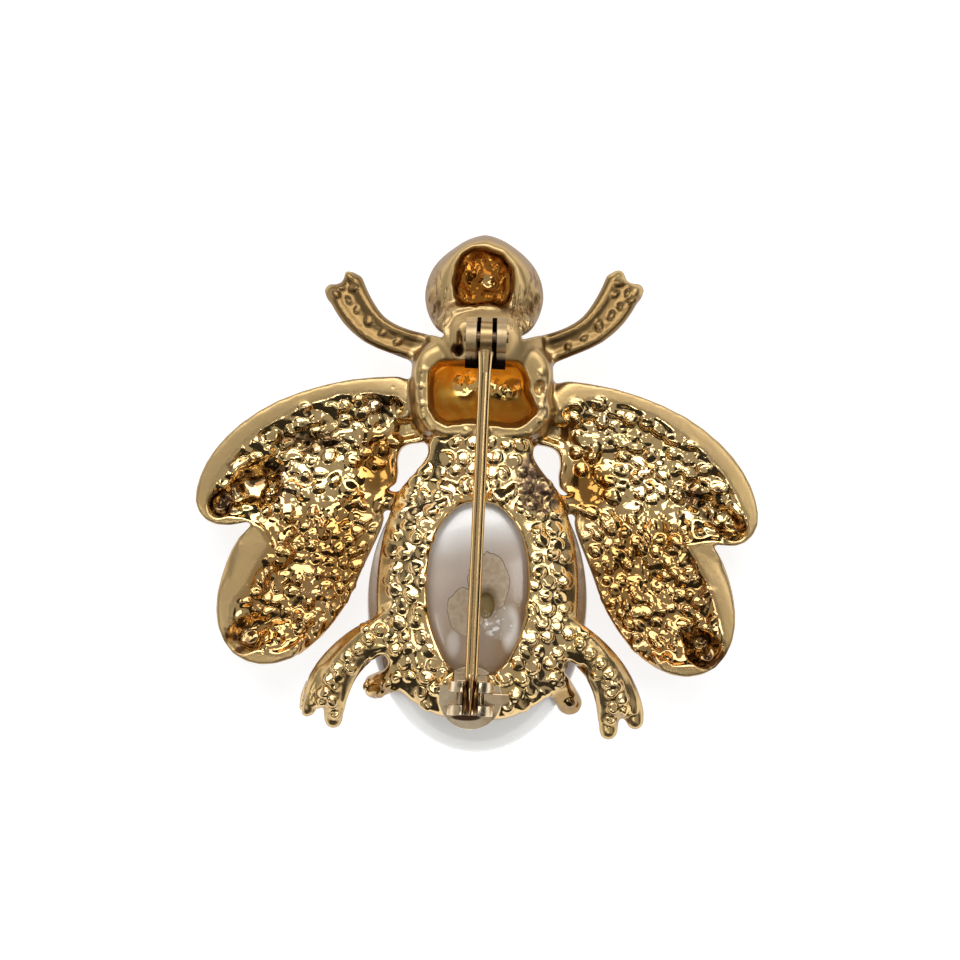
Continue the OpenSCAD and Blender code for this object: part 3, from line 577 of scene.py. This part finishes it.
def fill(field, start, angle, pitch, row, size, share, test):
    """Rows of lumps over a field, from a starting point and along an angle."""
    way = Vector((math.cos(angle), math.sin(angle)))
    across_way = Vector((-way.y, way.x))
    for i in range(-4, 24):
        for j in range(-13, 14):
            u = (i + 0.5 * (j % 2)) * pitch + chance.uniform(-0.3, 0.3)
            v = j * row + chance.uniform(-0.2, 0.2)
            q = Vector(start) + way * u + across_way * v
            along, across = size * chance.uniform(0.75, 1.2), size * chance.uniform(0.62, 0.9)
            high = size * chance.uniform(0.45, 0.75)
            turn = angle + chance.uniform(-0.7, 0.7)
            spot = np.array([q.x]), np.array([q.y])
            plain = off_line(abs(spot[0]), spot[1], VALLEY)[0] < 0.8
            keep = chance.random() > (0.35 if plain else 0.08)
            near_edge = -0.8 if abs(q.x) < 15 and q.y < 5 else 0.4
            if keep and depth_in(*spot, field)[0] > near_edge and test(q.x, q.y):
                stamp(q.x, q.y, along, across, high, turn, facet(share))


for field, side in ((LEFT_FIELD, -1), (RIGHT_FIELD, 1)):
    fill(field, (5.8 * side, 6.0), math.radians(90 - side * 114), 1.3, 1.08, 0.74, 0.5,
         lambda x, y: is_upper(x, y) and not root_web(x, y))
    fill(field, (8.2 * side, -2.5), math.radians(90 - side * 140), 1.16, 0.96, 0.6, 0.4,
         lambda x, y: not is_upper(x, y))
    stamp(side * 10.3, 4.6, 2.9, 0.8, 0.4, side * -0.08)
relief = read(relief, GX + 0.12 * wander(0.9, 1), GY + 0.12 * wander(0.9, 2))

# Right halves of the frame's and the window's outlines, as y and x, and the beads between them
FRAME_HALF = [
    (5.2, 3.1), (3.4, 3.4), (1.6, 4.9), (-0.4, 6.5), (-2.6, 7.2), (-5.5, 7.55), (-8.5, 7.6),
    (-11, 7.5), (-13, 7.4), (-15, 7.1), (-16.4, 6.3), (-17.6, 4.6), (-18.4, 2.4)]
WINDOW_HALF = [
    (-0.2, 1.0), (-0.9, 2.2), (-2.2, 3.4), (-3.6, 3.9), (-5.2, 4.2), (-7, 4.4), (-8.7, 4.4),
    (-10.4, 4.2), (-12, 3.75), (-13.7, 3.0), (-15.2, 2.3)]
frame_area, window_area = (
    [(x, y) for y, x in half] + [(-x, y) for y, x in reversed(half)]
    for half in (FRAME_HALF, WINDOW_HALF))
CATCH_X, CATCH_Y = -0.4, -16.84
for i in range(-8, 9):
    for j in range(0, 24):
        bx = (i + 0.5 * (j % 2)) * 1.34 + chance.uniform(-0.24, 0.24)
        by = 5.3 - j * 1.14 + chance.uniform(-0.24, 0.24)
        wide = chance.uniform(0.5, 0.72)
        turn = chance.uniform(0, 6.3)
        spot = np.array([bx]), np.array([by])
        on_catch = math.hypot(bx - CATCH_X, by - CATCH_Y) < (1.9 if by > -15.6 else 2.9)
        on_frame = depth_in(*spot, frame_area)[0] > 0 and depth_in(*spot, window_area)[0] < 0
        if on_frame and not on_catch:
            across, high = wide * chance.uniform(0.75, 1), wide * chance.uniform(0.5, 0.75)
            stamp(bx, by, wide, across, high, turn, facet(0.65), 0.8)


def ridge(line, wide, high):
    """A polished ridge along a line of points."""
    for (ax, ay), (bx, by) in zip(line, line[1:]):
        long = math.hypot(bx - ax, by - ay)
        for k in range(max(1, round(long / 0.1))):
            s = k * 0.1 / long
            stamp(ax + (bx - ax) * s, ay + (by - ay) * s, wide, wide, high)


for bx, by in ((-2.3, 0.4), (-3.2, -0.8), (-1.1, 0.9), (2.5, 0.2), (3.4, -1.0)):
    stamp(bx, by, 0.6, 0.5, 0.4, chance.uniform(0, 3), facet(0.8), 0.8)
HIND_LEG_BEADS = [
    (7.6, 11.4), (8.6, 12.2), (9.4, 13.0), (10.3, 13.8), (11.1, 14.7), (11.7, 15.7), (8.9, 11.3),
    (12.2, 16.8), (11.3, 16.2), (12.6, 17.7), (11.5, 17.5), (11.3, 18.5), (10.1, 14.6),
    (11.0, 15.4)]
FRONT_LEG_BEADS = [
    (10.6, 15.1), (11.3, 15.9), (11.9, 17.0), (10.9, 16.9), (12.4, 16.4), (9.6, 14.2),
    (8.4, 13.2), (11.3, 17.9), (7.1, 12.5)]
for side in (-1, 1):
    # A hind leg has a ridge along each side, a low one between them, and beads. The left leg lies
    # a little further out.
    out = 0.35 if side < 0 else 0.0
    for line, wide, high in (
            ([(7.6, -10.3), (8.8, -11.0 - out), (10.2, -12.2 - out), (11.6, -13.6 - out),
              (12.6 + out, -15.2), (13.1 + out, -16.6), (13.2 + out, -17.8)], 0.42, 0.25),
            ([(7.7, -12.6), (8.8, -13.0), (9.7, -14.3), (10.5, -15.8), (10.7, -17.4),
              (10.6, -18.6)], 0.42, 0.25),
            ([(7.5, -11.5), (8.8, -12.0 - out / 2), (9.9, -13.1 - out / 2), (11.0, -14.6 - out / 2),
              (11.7 + out / 2, -16.0), (12.0 + out / 2, -17.6)], 1.0, 0.2)):
        ridge([(side * a, b) for a, b in line], wide, high)
    for a, b in HIND_LEG_BEADS:
        wide = chance.uniform(0.5, 0.65)
        stamp(side * (a + out), -b, wide, wide * 0.9, 0.3 + wide * 0.7, chance.uniform(0, 3),
              facet(0.75), 0.8)
    for a, b in FRONT_LEG_BEADS:
        wide = chance.uniform(0.3, 0.5)
        stamp(side * a, b, wide * 1.2, wide * 0.8, wide * 0.95, chance.uniform(0, 3), facet(0.6))
    # Small beads along the sides of the thorax, and tufts of fur at the sides of the head
    for b in (5.2, 6.3, 7.4, 8.8, 10.2):
        a = 5.0 + 0.12 * math.sin(b * 3) - 0.9 * ease(6.6 - b, 0, 1.4)
        stamp(side * a, b, 0.34, 0.3, 0.25, 0, facet(0.7))
    for a, b, long, turn in ((4.2, 15.2, 1.4, 1.25), (3.6, 14.6, 1.2, 1.1),
                             (4.6, 16.0, 1.2, 1.35), (3.1, 14.2, 0.9, 0.9)):
        stamp(side * a, b, long, 0.24, 0.42, side * -turn + math.pi)
# Beads on the two knobs beside the pearl
for bx, by, wide in ((-6.6, -15.3, 0.5), (-7.4, -16.0, 0.45), (-6.8, -16.5, 0.4),
                     (-7.9, -16.8, 0.45), (7.0, -15.6, 0.45), (7.9, -17.2, 0.5)):
    stamp(bx, by, wide, wide * 0.85, wide, 0.5, (0.1, -0.35), 0.8)
relief = (relief + sum(np.roll(relief, by, axis) for by in (-1, 1) for axis in (0, 1))) / 5
mean = relief
for _ in range(3):
    for axis in (0, 1):
        mean = sum(np.roll(mean, by, axis) for by in range(-6, 7)) / 13
recess = ease(mean - relief, 0.02, 0.2)  # 1 in the low places between close lumps

# Sunk places: the pockets near the wing tips and the slit beside the hinge
for px, py, along, across, deep, turn in (
        (-18.6, 0.6, 2.7, 1.9, 1.1, 0.6), (-21.5, -1.3, 1.4, 1.0, 0.9, 0.9),
        (-19.2, -12.2, 2.0, 1.5, 1.2, 0.7), (18.9, -12.5, 2.1, 1.5, 1.2, -0.8),
        (20.9, -2.1, 1.7, 1.2, 0.9, -0.7), (-2.1, 11.8, 0.5, 0.5, 1.6, 0),
        (-1.95, 12.7, 0.22, 0.9, 1.0, 0.15), (4.8, 8.9, 0.55, 0.7, 0.5, 0)):
    stamp(px, py, along, across, -deep, turn, power=1.2)
ground = crumple(0.95, 21)
swell = 0.7 * wander(2.1, 7) + 0.3 * wander(1.1, 8)
crinkle = 0.6 * wander(0.9, 5) + 0.4 * wander(0.45, 6)
sparkle = 0.6 * wander(0.5, 9) + 0.4 * wander(0.3, 10)

# The relief goes on between straight up and the way that each point faces
spots, faces = points(casting)
x, y, z = spots
facing = faces + np.array([[0.0], [0.0], [1.0]])
facing /= np.maximum(np.linalg.norm(facing, axis=0), 0.2)
back = ease(faces[2], 0.05, 0.4) * (z > 3.0)
lumpy = in_fields(x, y)
hollow = ease(depth_in(x, y, HOLLOW), 0.1, 0.8) * (z < 7)
bowl = ease(depth_in(x, y, CAVITY), 0.3, 1.0) * (z < 8.2)
in_window = depth_in(x, y, window_area) > 0.3
rise = (np.where(in_window, 0, read(relief, x, y)) + 0.3 * ease(lumpy, 0.3, 1.5) * read(swell, x, y)
        + ease(lumpy, 0.0, 0.6) * read(ground, x, y))
rough = 0.2 * hollow + bowl * 0.12 * np.exp(-((abs(x) - 1.4) / 1.3) ** 2 - ((y - 8.8) / 1.5) ** 2)
rough += 0.07 * ease(lumpy, 0, 0.5)
bright = (np.exp(-((x + 1.4) / 0.75) ** 2 - ((y - 9.1) / 0.9) ** 2)
          + np.exp(-((x - 1.9) / 1.2) ** 2 - ((y - 8.9) / 0.7) ** 2))
spots += facing * back * (rise * (1 - hollow) * (1 - bowl) + rough * read(crinkle, x, y)
                          + 0.16 * bowl * bright * read(sparkle, x, y))
y += 0.12 * ease(y, 17, 21.3)

# Solder and crowded beads close over the upper edge of the catch's round base
r = np.hypot(x - CATCH_X, y - CATCH_Y)
collar = (back > 0.3) & (y > -15.8) & (y < -12) & (abs(x - CATCH_X) > 1.35) & (r < 3.4)
collar_top = 11.2 - 1.0 * ((r - 2.35) / 0.75) ** 2 + 0.5 * read(relief, x, y)
z[:] = np.where(collar, np.maximum(z, collar_top), z)
lip = ((back > 0.3) & (y > -15.1) & (y < -13.4) & (abs(x - CATCH_X) < 2.2)
       & (off_line(x, y, window_area, True) > 0.2) & ~in_window)
z[:] = np.where(lip, np.maximum(z, 11.05 + 0.1 * read(crinkle, x, y)), z)
put_points(casting, spots)
finish_with(casting, "SMOOTH", factor=0.4, iterations=1)

# Fewer faces where the casting is smooth. It is made of quads here, of two triangles each.
triangles = len(casting.data.polygons) * 2
finish_with(casting, "DECIMATE", ratio=min(1.0, MOST_TRIANGLES / triangles))

# A casting is one solid, so specks that came loose from it are taken away
rework(casting, (bpy.ops.mesh.select_all, {"action": "DESELECT"}))
heights = points(casting)[0][2]
casting.data.vertices.foreach_set("select", heights == heights.max())
rework(casting, (bpy.ops.mesh.select_linked, {}), (bpy.ops.mesh.select_all, {"action": "INVERT"}),
       (bpy.ops.mesh.delete, {"type": "VERT"}))
bpy.ops.object.shade_smooth()

# How satiny the plating is: 1 on the smooth bands and rings, less on the lumps
(x, y, z), faces = points(casting)
lumpy = in_fields(x, y)
on_band = (abs(x) > 6) & (y > -15) & outer_side(x, y) & (lumpy > -3.4)
satin = np.where(on_band, 1 - ease(lumpy, -0.5, 0.15), 0.15)
rim = ((abs(x) > 5) & (abs(x) < 8.8) & (y < -1) & (y > -11)
       & (depth_in(x, y, frame_area) < 0.2) & (lumpy < -0.3))
satin = np.where(rim, 0.6, satin)
satin = np.where((y > 4.8) & (abs(x) < 6.3), 0.8, satin)
satin = np.where(y > 10.5, np.where(abs(x) > 5.6, 0.9, 1.1), satin)
on_leg = ((off_line(abs(x), y, LEG_LINE) < LEG_REACH) & (y < -11.5)
          & ((abs(x) > 9.2) | (y > -13)))
leg_satin = 0.65 - 0.6 * ease(read(relief, x, y), 0.18, 0.34)
satin = np.where(on_leg, satin + ease(abs(x), 7.6, 9.2) * (leg_satin - satin), satin)
satin *= 1 - ease(np.maximum(depth_in(x, y, HOLLOW), depth_in(x, y, CAVITY)), -0.1, 0.2)
steep = (1 - ease(faces[2], 0.15, 0.62)) * ease(faces[2], -0.9, -0.2)
for name, share in (("satin", satin), ("recess", read(recess, x, y) * (z > 3)), ("steep", steep)):
    level = casting.data.attributes.new(name, "FLOAT", "POINT")
    level.data.foreach_set("value", share.astype(np.float32))

gold = Finish("gold_plate", Metallic=1.0)
satin_share, recess_share, steep_share = (
    gold.node("Attribute", {"attribute_name": name}, {}, "Fac")
    for name in ("satin", "recess", "steep"))
plate = gold.mixed(gold.grain(0.35, 3.0).step(0.3, 0.7),
                   (0.94, 0.67, 0.29, 1), (0.90, 0.64, 0.32, 1))
blotchy = (gold.grain(0.8, 4.0) - 0.5) * 2.0
# Painted shade and bounce light go on most in the low places and on steep sides
low_place_shade = 0.6 + (recess_share + steep_share * 0.7).held() * 0.4
# Painted bounce light, redder toward the wings' roots and in the low places and on steep sides
warm = (gold.near(-10.6, -5.2, 2.6, 5.2, 0.6, blotchy)
        + gold.near(10.9, -6.2, 2.8, 5.6, 0.6, blotchy) * 0.75
        + gold.near(-8.6, 1.8, 1.9, 3.4, 0.6, blotchy)
        + gold.near(9.2, 1.0, 2.0, 3.0, 0.6, blotchy)
        + gold.near(8.0, -6.0, 0.7, 3.4, 0.5) + gold.near(-8.0, -5.6, 0.7, 3.0, 0.5)).held()
plate = gold.mixed(warm * low_place_shade, plate, (0.50, 0.225, 0.035, 1))
# Painted bounce light: a deep orange on the smooth webs at the wings' roots
roots = gold.patches((-8.3, 2.2, 1.5, 2.3, 0.6, blotchy * 0.6),
                     (9.3, 0.7, 1.8, 1.6, 0.6, blotchy * 0.6))
plate = gold.mixed(roots * 0.8, plate, (0.36, 0.155, 0.022, 1))
# Painted shade: the head's hollow is a deeper orange
in_head_hollow = gold.near(0.0, 18.0, 2.6, 2.5, 0.1)
plate = gold.mixed(in_head_hollow * 0.55, plate, (0.55, 0.27, 0.06, 1))
# The thorax cavity is painted a deep orange as bounce light in the bowl, with two paler places in
# it where it is lit
bowl_share = gold.near(0.0, 8.3, 4.6, 2.9, 0.1) * (1 - satin_share.step(0.1, 0.5))
mottled = gold.mixed(gold.grain(1.1, 4.0, 0.6, 7.0).step(0.3, 0.7),
                     (0.95, 0.45, 0.055, 1), (1.0, 0.64, 0.12, 1))
lit = gold.patches((-1.4, 9.1, 1.1, 1.2, 0.6), (1.9, 8.9, 1.7, 1.1, 0.6))
plate = gold.mixed(bowl_share * (1 - lit * 0.55), plate, mottled)
# Painted shade: dark brown in the low places between close lumps, broken up by noise
crease_shade = recess_share * gold.grain(0.7, 3.0, 0.5, 6.0).step(0.4, 0.6)
plate = gold.mixed(crease_shade * 0.8, plate, (0.34, 0.16, 0.04, 1))
# The lower wings are redder and darker than the beads, most in the low places and on steep sides as
# painted shade, and the satin bands and rings darker and duller
lower = gold.patches((-14.6, -7.8, 5.6, 6.6, 0.35, blotchy * 0.4),
                     (15.0, -8.2, 5.6, 6.6, 0.35, blotchy * 0.4))
plate = gold.mixed(lower * (1 - satin_share).held() * low_place_shade, plate, (0.46, 0.22, 0.05, 1))
plate = gold.mixed(satin_share.held() * 0.62, plate, (0.40, 0.27, 0.12, 1))
# Painted shade, brown-black, in the pockets at the wing tips, under the upper wings' bands and in
# the slit beside the hinge
pocket_shade = gold.patches(
    (-18.6, 0.7, 2.7, 2.0, 0.4, blotchy), (-21.4, -1.2, 1.3, 1.2, 0.3),
    (-19.6, -12.2, 1.6, 1.7, 0.3, blotchy * 0.5), (19.2, -12.7, 1.9, 1.6, 0.3, blotchy * 0.5),
    (20.4, -2.2, 1.9, 1.3, 0.4, blotchy), (18.6, 0.4, 1.8, 1.6, 0.5, blotchy),
    (-14.4, 4.2, 2.8, 1.0, 0.5, blotchy), (-8.2, 7.3, 1.3, 0.8, 0.5, blotchy),
    (-2.1, 11.9, 0.6, 0.7, 0.4)) * gold.grain(0.9, 3.0, 0.5, 1.0).step(0.42, 0.56)
plate = gold.mixed(pocket_shade * 0.9, plate, (0.10, 0.04, 0.015, 1))
# Painted shade, blacker still, in three of the wing-tip pockets
deep_pocket_shade = (gold.near(18.9, -12.6, 1.4, 1.2, 0.4, blotchy * 0.4) * 0.6
         + gold.near(-19.5, -12.2, 0.9, 0.9, 0.4, blotchy * 0.4) * 0.6
         + gold.near(-21.6, -1.2, 0.8, 0.8, 0.4) * 0.7).held()
plate = gold.mixed(deep_pocket_shade * 0.9, plate, (0.05, 0.03, 0.02, 1))
# Tarnish on the waist's right side, and pits all over
tarnish = gold.near(4.9, 1.2, 1.7, 3.1, 0.5, blotchy)
plate = gold.mixed(tarnish * gold.grain(2.6, 3.0, 0.6, 2.0).step(0.32, 0.48) * 0.92, plate,
                   (0.09, 0.05, 0.04, 1))
cells = gold.node("TexVoronoi", {"feature": "F1"}, {"Vector": gold.place, "Scale": 0.55},
                  "Distance")
pits = (1 - cells.step(0.05, 0.12)) * gold.grain(0.3, 2.0, 0.5, 9.0).step(0.5, 0.6)
# Legs and the solder before the catch are browner, and the steep sides of everything are painted
# darker as shade
front_legs = gold.patches((-9.6, 14.2, 4.4, 4.2, 0.1), (9.6, 14.2, 4.4, 4.2, 0.1))
plate = gold.mixed(front_legs * 0.95, plate, (0.25, 0.155, 0.06, 1))
claws = gold.patches((-7.3, -17.2, 1.4, 1.2, 0.4), (7.6, -17.3, 1.4, 1.3, 0.4))
plate = gold.mixed(claws * (0.55 + gold.grain(1.4, 3.0) * 0.5), plate, (0.27, 0.16, 0.055, 1))
# Painted shade on the steep sides of everything
plate = gold.mixed(steep_share * 0.85, plate, (0.21, 0.105, 0.03, 1))
plate = gold.mixed(gold.near(-0.4, -14.65, 2.0, 0.6, 0.3) * 0.8, plate, (0.26, 0.15, 0.06, 1))
# Fur strokes at the sides of the head, cut with a graver. They end below the head's back.
fur = 0.0
for x, y, rx, ry, turn in ((3.7, 15.3, 1.7, 2.1, -0.45), (-3.9, 15.4, 1.3, 1.9, 0.45),
                           (4.3, 17.6, 0.8, 1.6, -0.15), (-4.3, 17.6, 0.8, 1.6, 0.15)):
    cuts = gold.strokes((1.0, 0.22, 0.3), 3.2, 3.0, turn)
    fur = fur + gold.near(x, y, rx, ry, 0.5) * cuts.step(0.5, 0.66)
fur = fur * gold.split(gold.place)[2].step(4.0, 6.0)
plate = gold.mixed(fur.held() * 0.75, plate, (0.20, 0.11, 0.045, 1))
wear_and_shade = gold.grain(2.2, 4.0, 0.6, 4.0).step(0.45, 0.8)
gold.set(Base_Color=plate,
         Roughness=(0.08 + satin_share * 0.30 + wear_and_shade * 0.06 + tarnish * 0.2
                    + bowl_share * (1 - lit) * 0.42),
         Normal=gold.bump(gold.grain(1.6, 3.0), 0.02,
                          gold.bump(1 - pits, 0.06, gold.bump(1 - fur, 0.12))))
casting.data.materials.clear()
casting.data.materials.append(gold.material)
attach(casting, "brooch")
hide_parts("casting")

# ---------------------------------------------------------------------------------------------
# The findings: a stamped hinge bracket, its rivet, the catch's base with two C bands and the
# roller with its lever. They are bought in, plated paler than the casting and soldered on.
def plating(name, pale, warm, roughness, stretch):
    """Thin plating over stamped brass, with fine scratches along the strip."""
    finish = Finish(name, Metallic=1.0)
    scratches = finish.strokes(stretch, 1.4, 5.0)
    plate = finish.mixed(finish.grain(0.6, 3.0).step(0.3, 0.7), pale, warm)
    finish.set(Roughness=roughness + scratches * 0.15, Normal=finish.bump(scratches, 0.006))
    return finish, plate


hinge_plate, plate = plating("hinge_plate", (0.68, 0.50, 0.27, 1), (0.52, 0.38, 0.22, 1), 0.42,
                             (4.0, 0.3, 0.3))
# Painted shade, near black, in the two slots beside the eye and on the lower ends of the ears, and
# dark streaks along the ears
streaks = hinge_plate.strokes((3.0, 0.12, 0.12), 1.1, 2.0).step(0.54, 0.64)
across, along, _ = hinge_plate.split(hinge_plate.place)
slots = hinge_plate.patches((-0.33, 12.4, 0.17, 8.0, 0.3), (0.93, 12.4, 0.2, 8.0, 0.3))
shade_and_streaks = (slots + (1 - along.step(11.0, 11.6)) + streaks * 0.6).held()
hinge_plate.set(Base_Color=hinge_plate.mixed(shade_and_streaks, plate, (0.008, 0.004, 0.003, 1)))

catch_plate, plate = plating("catch_plate", (0.95, 0.80, 0.56, 1), (0.76, 0.58, 0.36, 1), 0.16,
                             (7.0, 1.0, 1.0))
# Painted shade: a dark crescent on the base's rounded end past the roller, and dark patches from
# noise
crescent_shade_and_patches = (catch_plate.near(-0.7, -18.42, 1.2, 0.3, 0.25) * 0.97
         + catch_plate.grain(0.9, 3.0).step(0.54, 0.68) * 0.5).held()
catch_plate.set(Base_Color=catch_plate.mixed(crescent_shade_and_patches, plate, (0.08, 0.035, 0.018, 1)))

roller_plate, plate = plating("roller_plate", (0.95, 0.74, 0.48, 1), (0.72, 0.50, 0.28, 1), 0.10,
                              (7.0, 1.0, 1.0))
# Painted shade: the roller between the bands is dark in patches, except on its lever
wear_and_shade = ((1 - roller_plate.near(1.9, -16.6, 1.2, 0.7, 0.3))
        * roller_plate.grain(0.8, 3.0, 0.5, 2.0).step(0.34, 0.48))
roller_plate.set(Base_Color=roller_plate.mixed(wear_and_shade * 0.7, plate, (0.07, 0.03, 0.018, 1)))

# The rivet is dark brown, as painted shade where it shows in the slots between the ears
rivet_plate = Finish("rivet_plate", Metallic=1.0)
shown = rivet_plate.mixed(rivet_plate.grain(1.5, 4.0), (0.20, 0.12, 0.07, 1), (0.34, 0.24, 0.15, 1))
rivet_plate.set(Base_Color=shown, Roughness=0.3 + rivet_plate.grain(3.0, 3.0) * 0.2)
ROUNDING = 0.07  # radius of the stamped edges in millimetres
for name, finish in (("hinge_bracket", hinge_plate), ("hinge_rivet", rivet_plate),
                     ("catch_base", catch_plate), ("catch_roller", roller_plate)):
    node = nodes[name]
    weld = node.modifiers.new("weld", "WELD")
    weld.merge_threshold = WELD * MM
    edge = node.modifiers.new("edge", "BEVEL")
    edge.width = ROUNDING * MM
    edge.segments = 3
    edge.limit_method = "ANGLE"
    edge.angle_limit = math.radians(40)
    for place in node.material_slots:
        place.material = finish.material

# ---------------------------------------------------------------------------------------------
# The pin: hard brass wire, gold plated, with its eye riveted in the hinge so that it turns with its
# joint. Its point is painted dark brown as shade inside the catch, and its eye is darker too.
wire = Finish("pin_plate", Metallic=1.0)
drawn = wire.strokes((5.0, 0.15, 5.0), 1.2, 4.0)
across, along, _ = wire.split(wire.place)
eye, end = along.step(11.2, 12.0), (-along).step(14.9, 15.3)
plate = wire.mixed(drawn, (0.80, 0.53, 0.23, 1), (0.88, 0.62, 0.30, 1))
# Painted shade on the point inside the catch, and a darker eye
painted_dark_ends = (end * 0.6 + eye * 0.45).held()
wire.set(Base_Color=wire.mixed(painted_dark_ends, plate, (0.13, 0.065, 0.035, 1)),
         Roughness=0.10 + drawn * 0.1 + eye * 0.22, Normal=wire.bump(drawn, 0.01))
for place in nodes["pin_stem"].material_slots:
    place.material = wire.material

# ---------------------------------------------------------------------------------------------
# The table that the brooch lies on, covered in white paper that is lit so evenly that it shows
# hardly a shadow, and the light of the room round it.
bpy.ops.object.select_all(action="DESELECT")
bpy.ops.mesh.primitive_plane_add(size=6.0, location=(0, 0, 0))
table = bpy.context.object
table.name = "table"
paper = Finish("white_paper", Roughness=0.8)
shade = paper.mixed(paper.grain(0.05, 3.0), (0.35, 0.35, 0.35, 1), (0.37, 0.37, 0.37, 1))
paper.set(Base_Color=shade, Emission_Color=shade, Emission_Strength=2.3)
table.data.materials.append(paper.material)

# Soft lights stand round the brooch. Each has a direction, its size in metres, and the brightness
# that its reflection in the metal shows.
LIGHTS_FROM = 0.9
for name, direction, width, height, radiance in (
        ("window", (-0.1, 0.90, 1.0), 1.25, 0.46, 3.4),
        ("lamp", (-0.1, -0.52, 1.0), 0.16, 0.13, 5.0),
        ("side_lamp", (0.72, 0.2, 1.0), 0.22, 0.50, 2.8),
        ("left_lamp", (-0.64, -0.30, 1.0), 0.18, 0.36, 2.8)):
    data = bpy.data.lights.new(name, "AREA")
    data.shape = "RECTANGLE"
    data.size, data.size_y = width, height
    data.energy = radiance * math.pi * width * height
    light = bpy.data.objects.new(name, data)
    bpy.context.scene.collection.objects.link(light)
    light.location = Vector(direction).normalized() * LIGHTS_FROM
    light.rotation_euler = Vector(direction).to_track_quat("Z", "Y").to_euler()

# The room's walls are dim, with darker stretches on each side, which polished metal mirrors
room = bpy.data.worlds.new("room")
bpy.context.scene.world = room
room.use_nodes = True
walls = Nodes(room.node_tree, "Generated")
left_right, far_near, _ = walls.split(walls.place)
near_dark, far_dark = (-far_near).step(0.56, 0.70), far_near.step(0.80, 0.88)
left_dark = (-left_right).step(0.42, 0.52) * (1 - (-left_right).step(0.70, 0.80))
right_dark = left_right.step(0.78, 0.86)
dark = (near_dark + left_dark + right_dark + far_dark).held()
level = (0.38 - dark * 0.35) * (0.5 + walls.grain(3.0, 3.0))
colour = walls.node("CombineColor", {}, {0: level, 1: level * 0.98, 2: level * 0.95})
walls.put(room.node_tree.nodes["Background"].inputs["Color"], colour)
bpy.context.scene.view_settings.view_transform = "Standard"
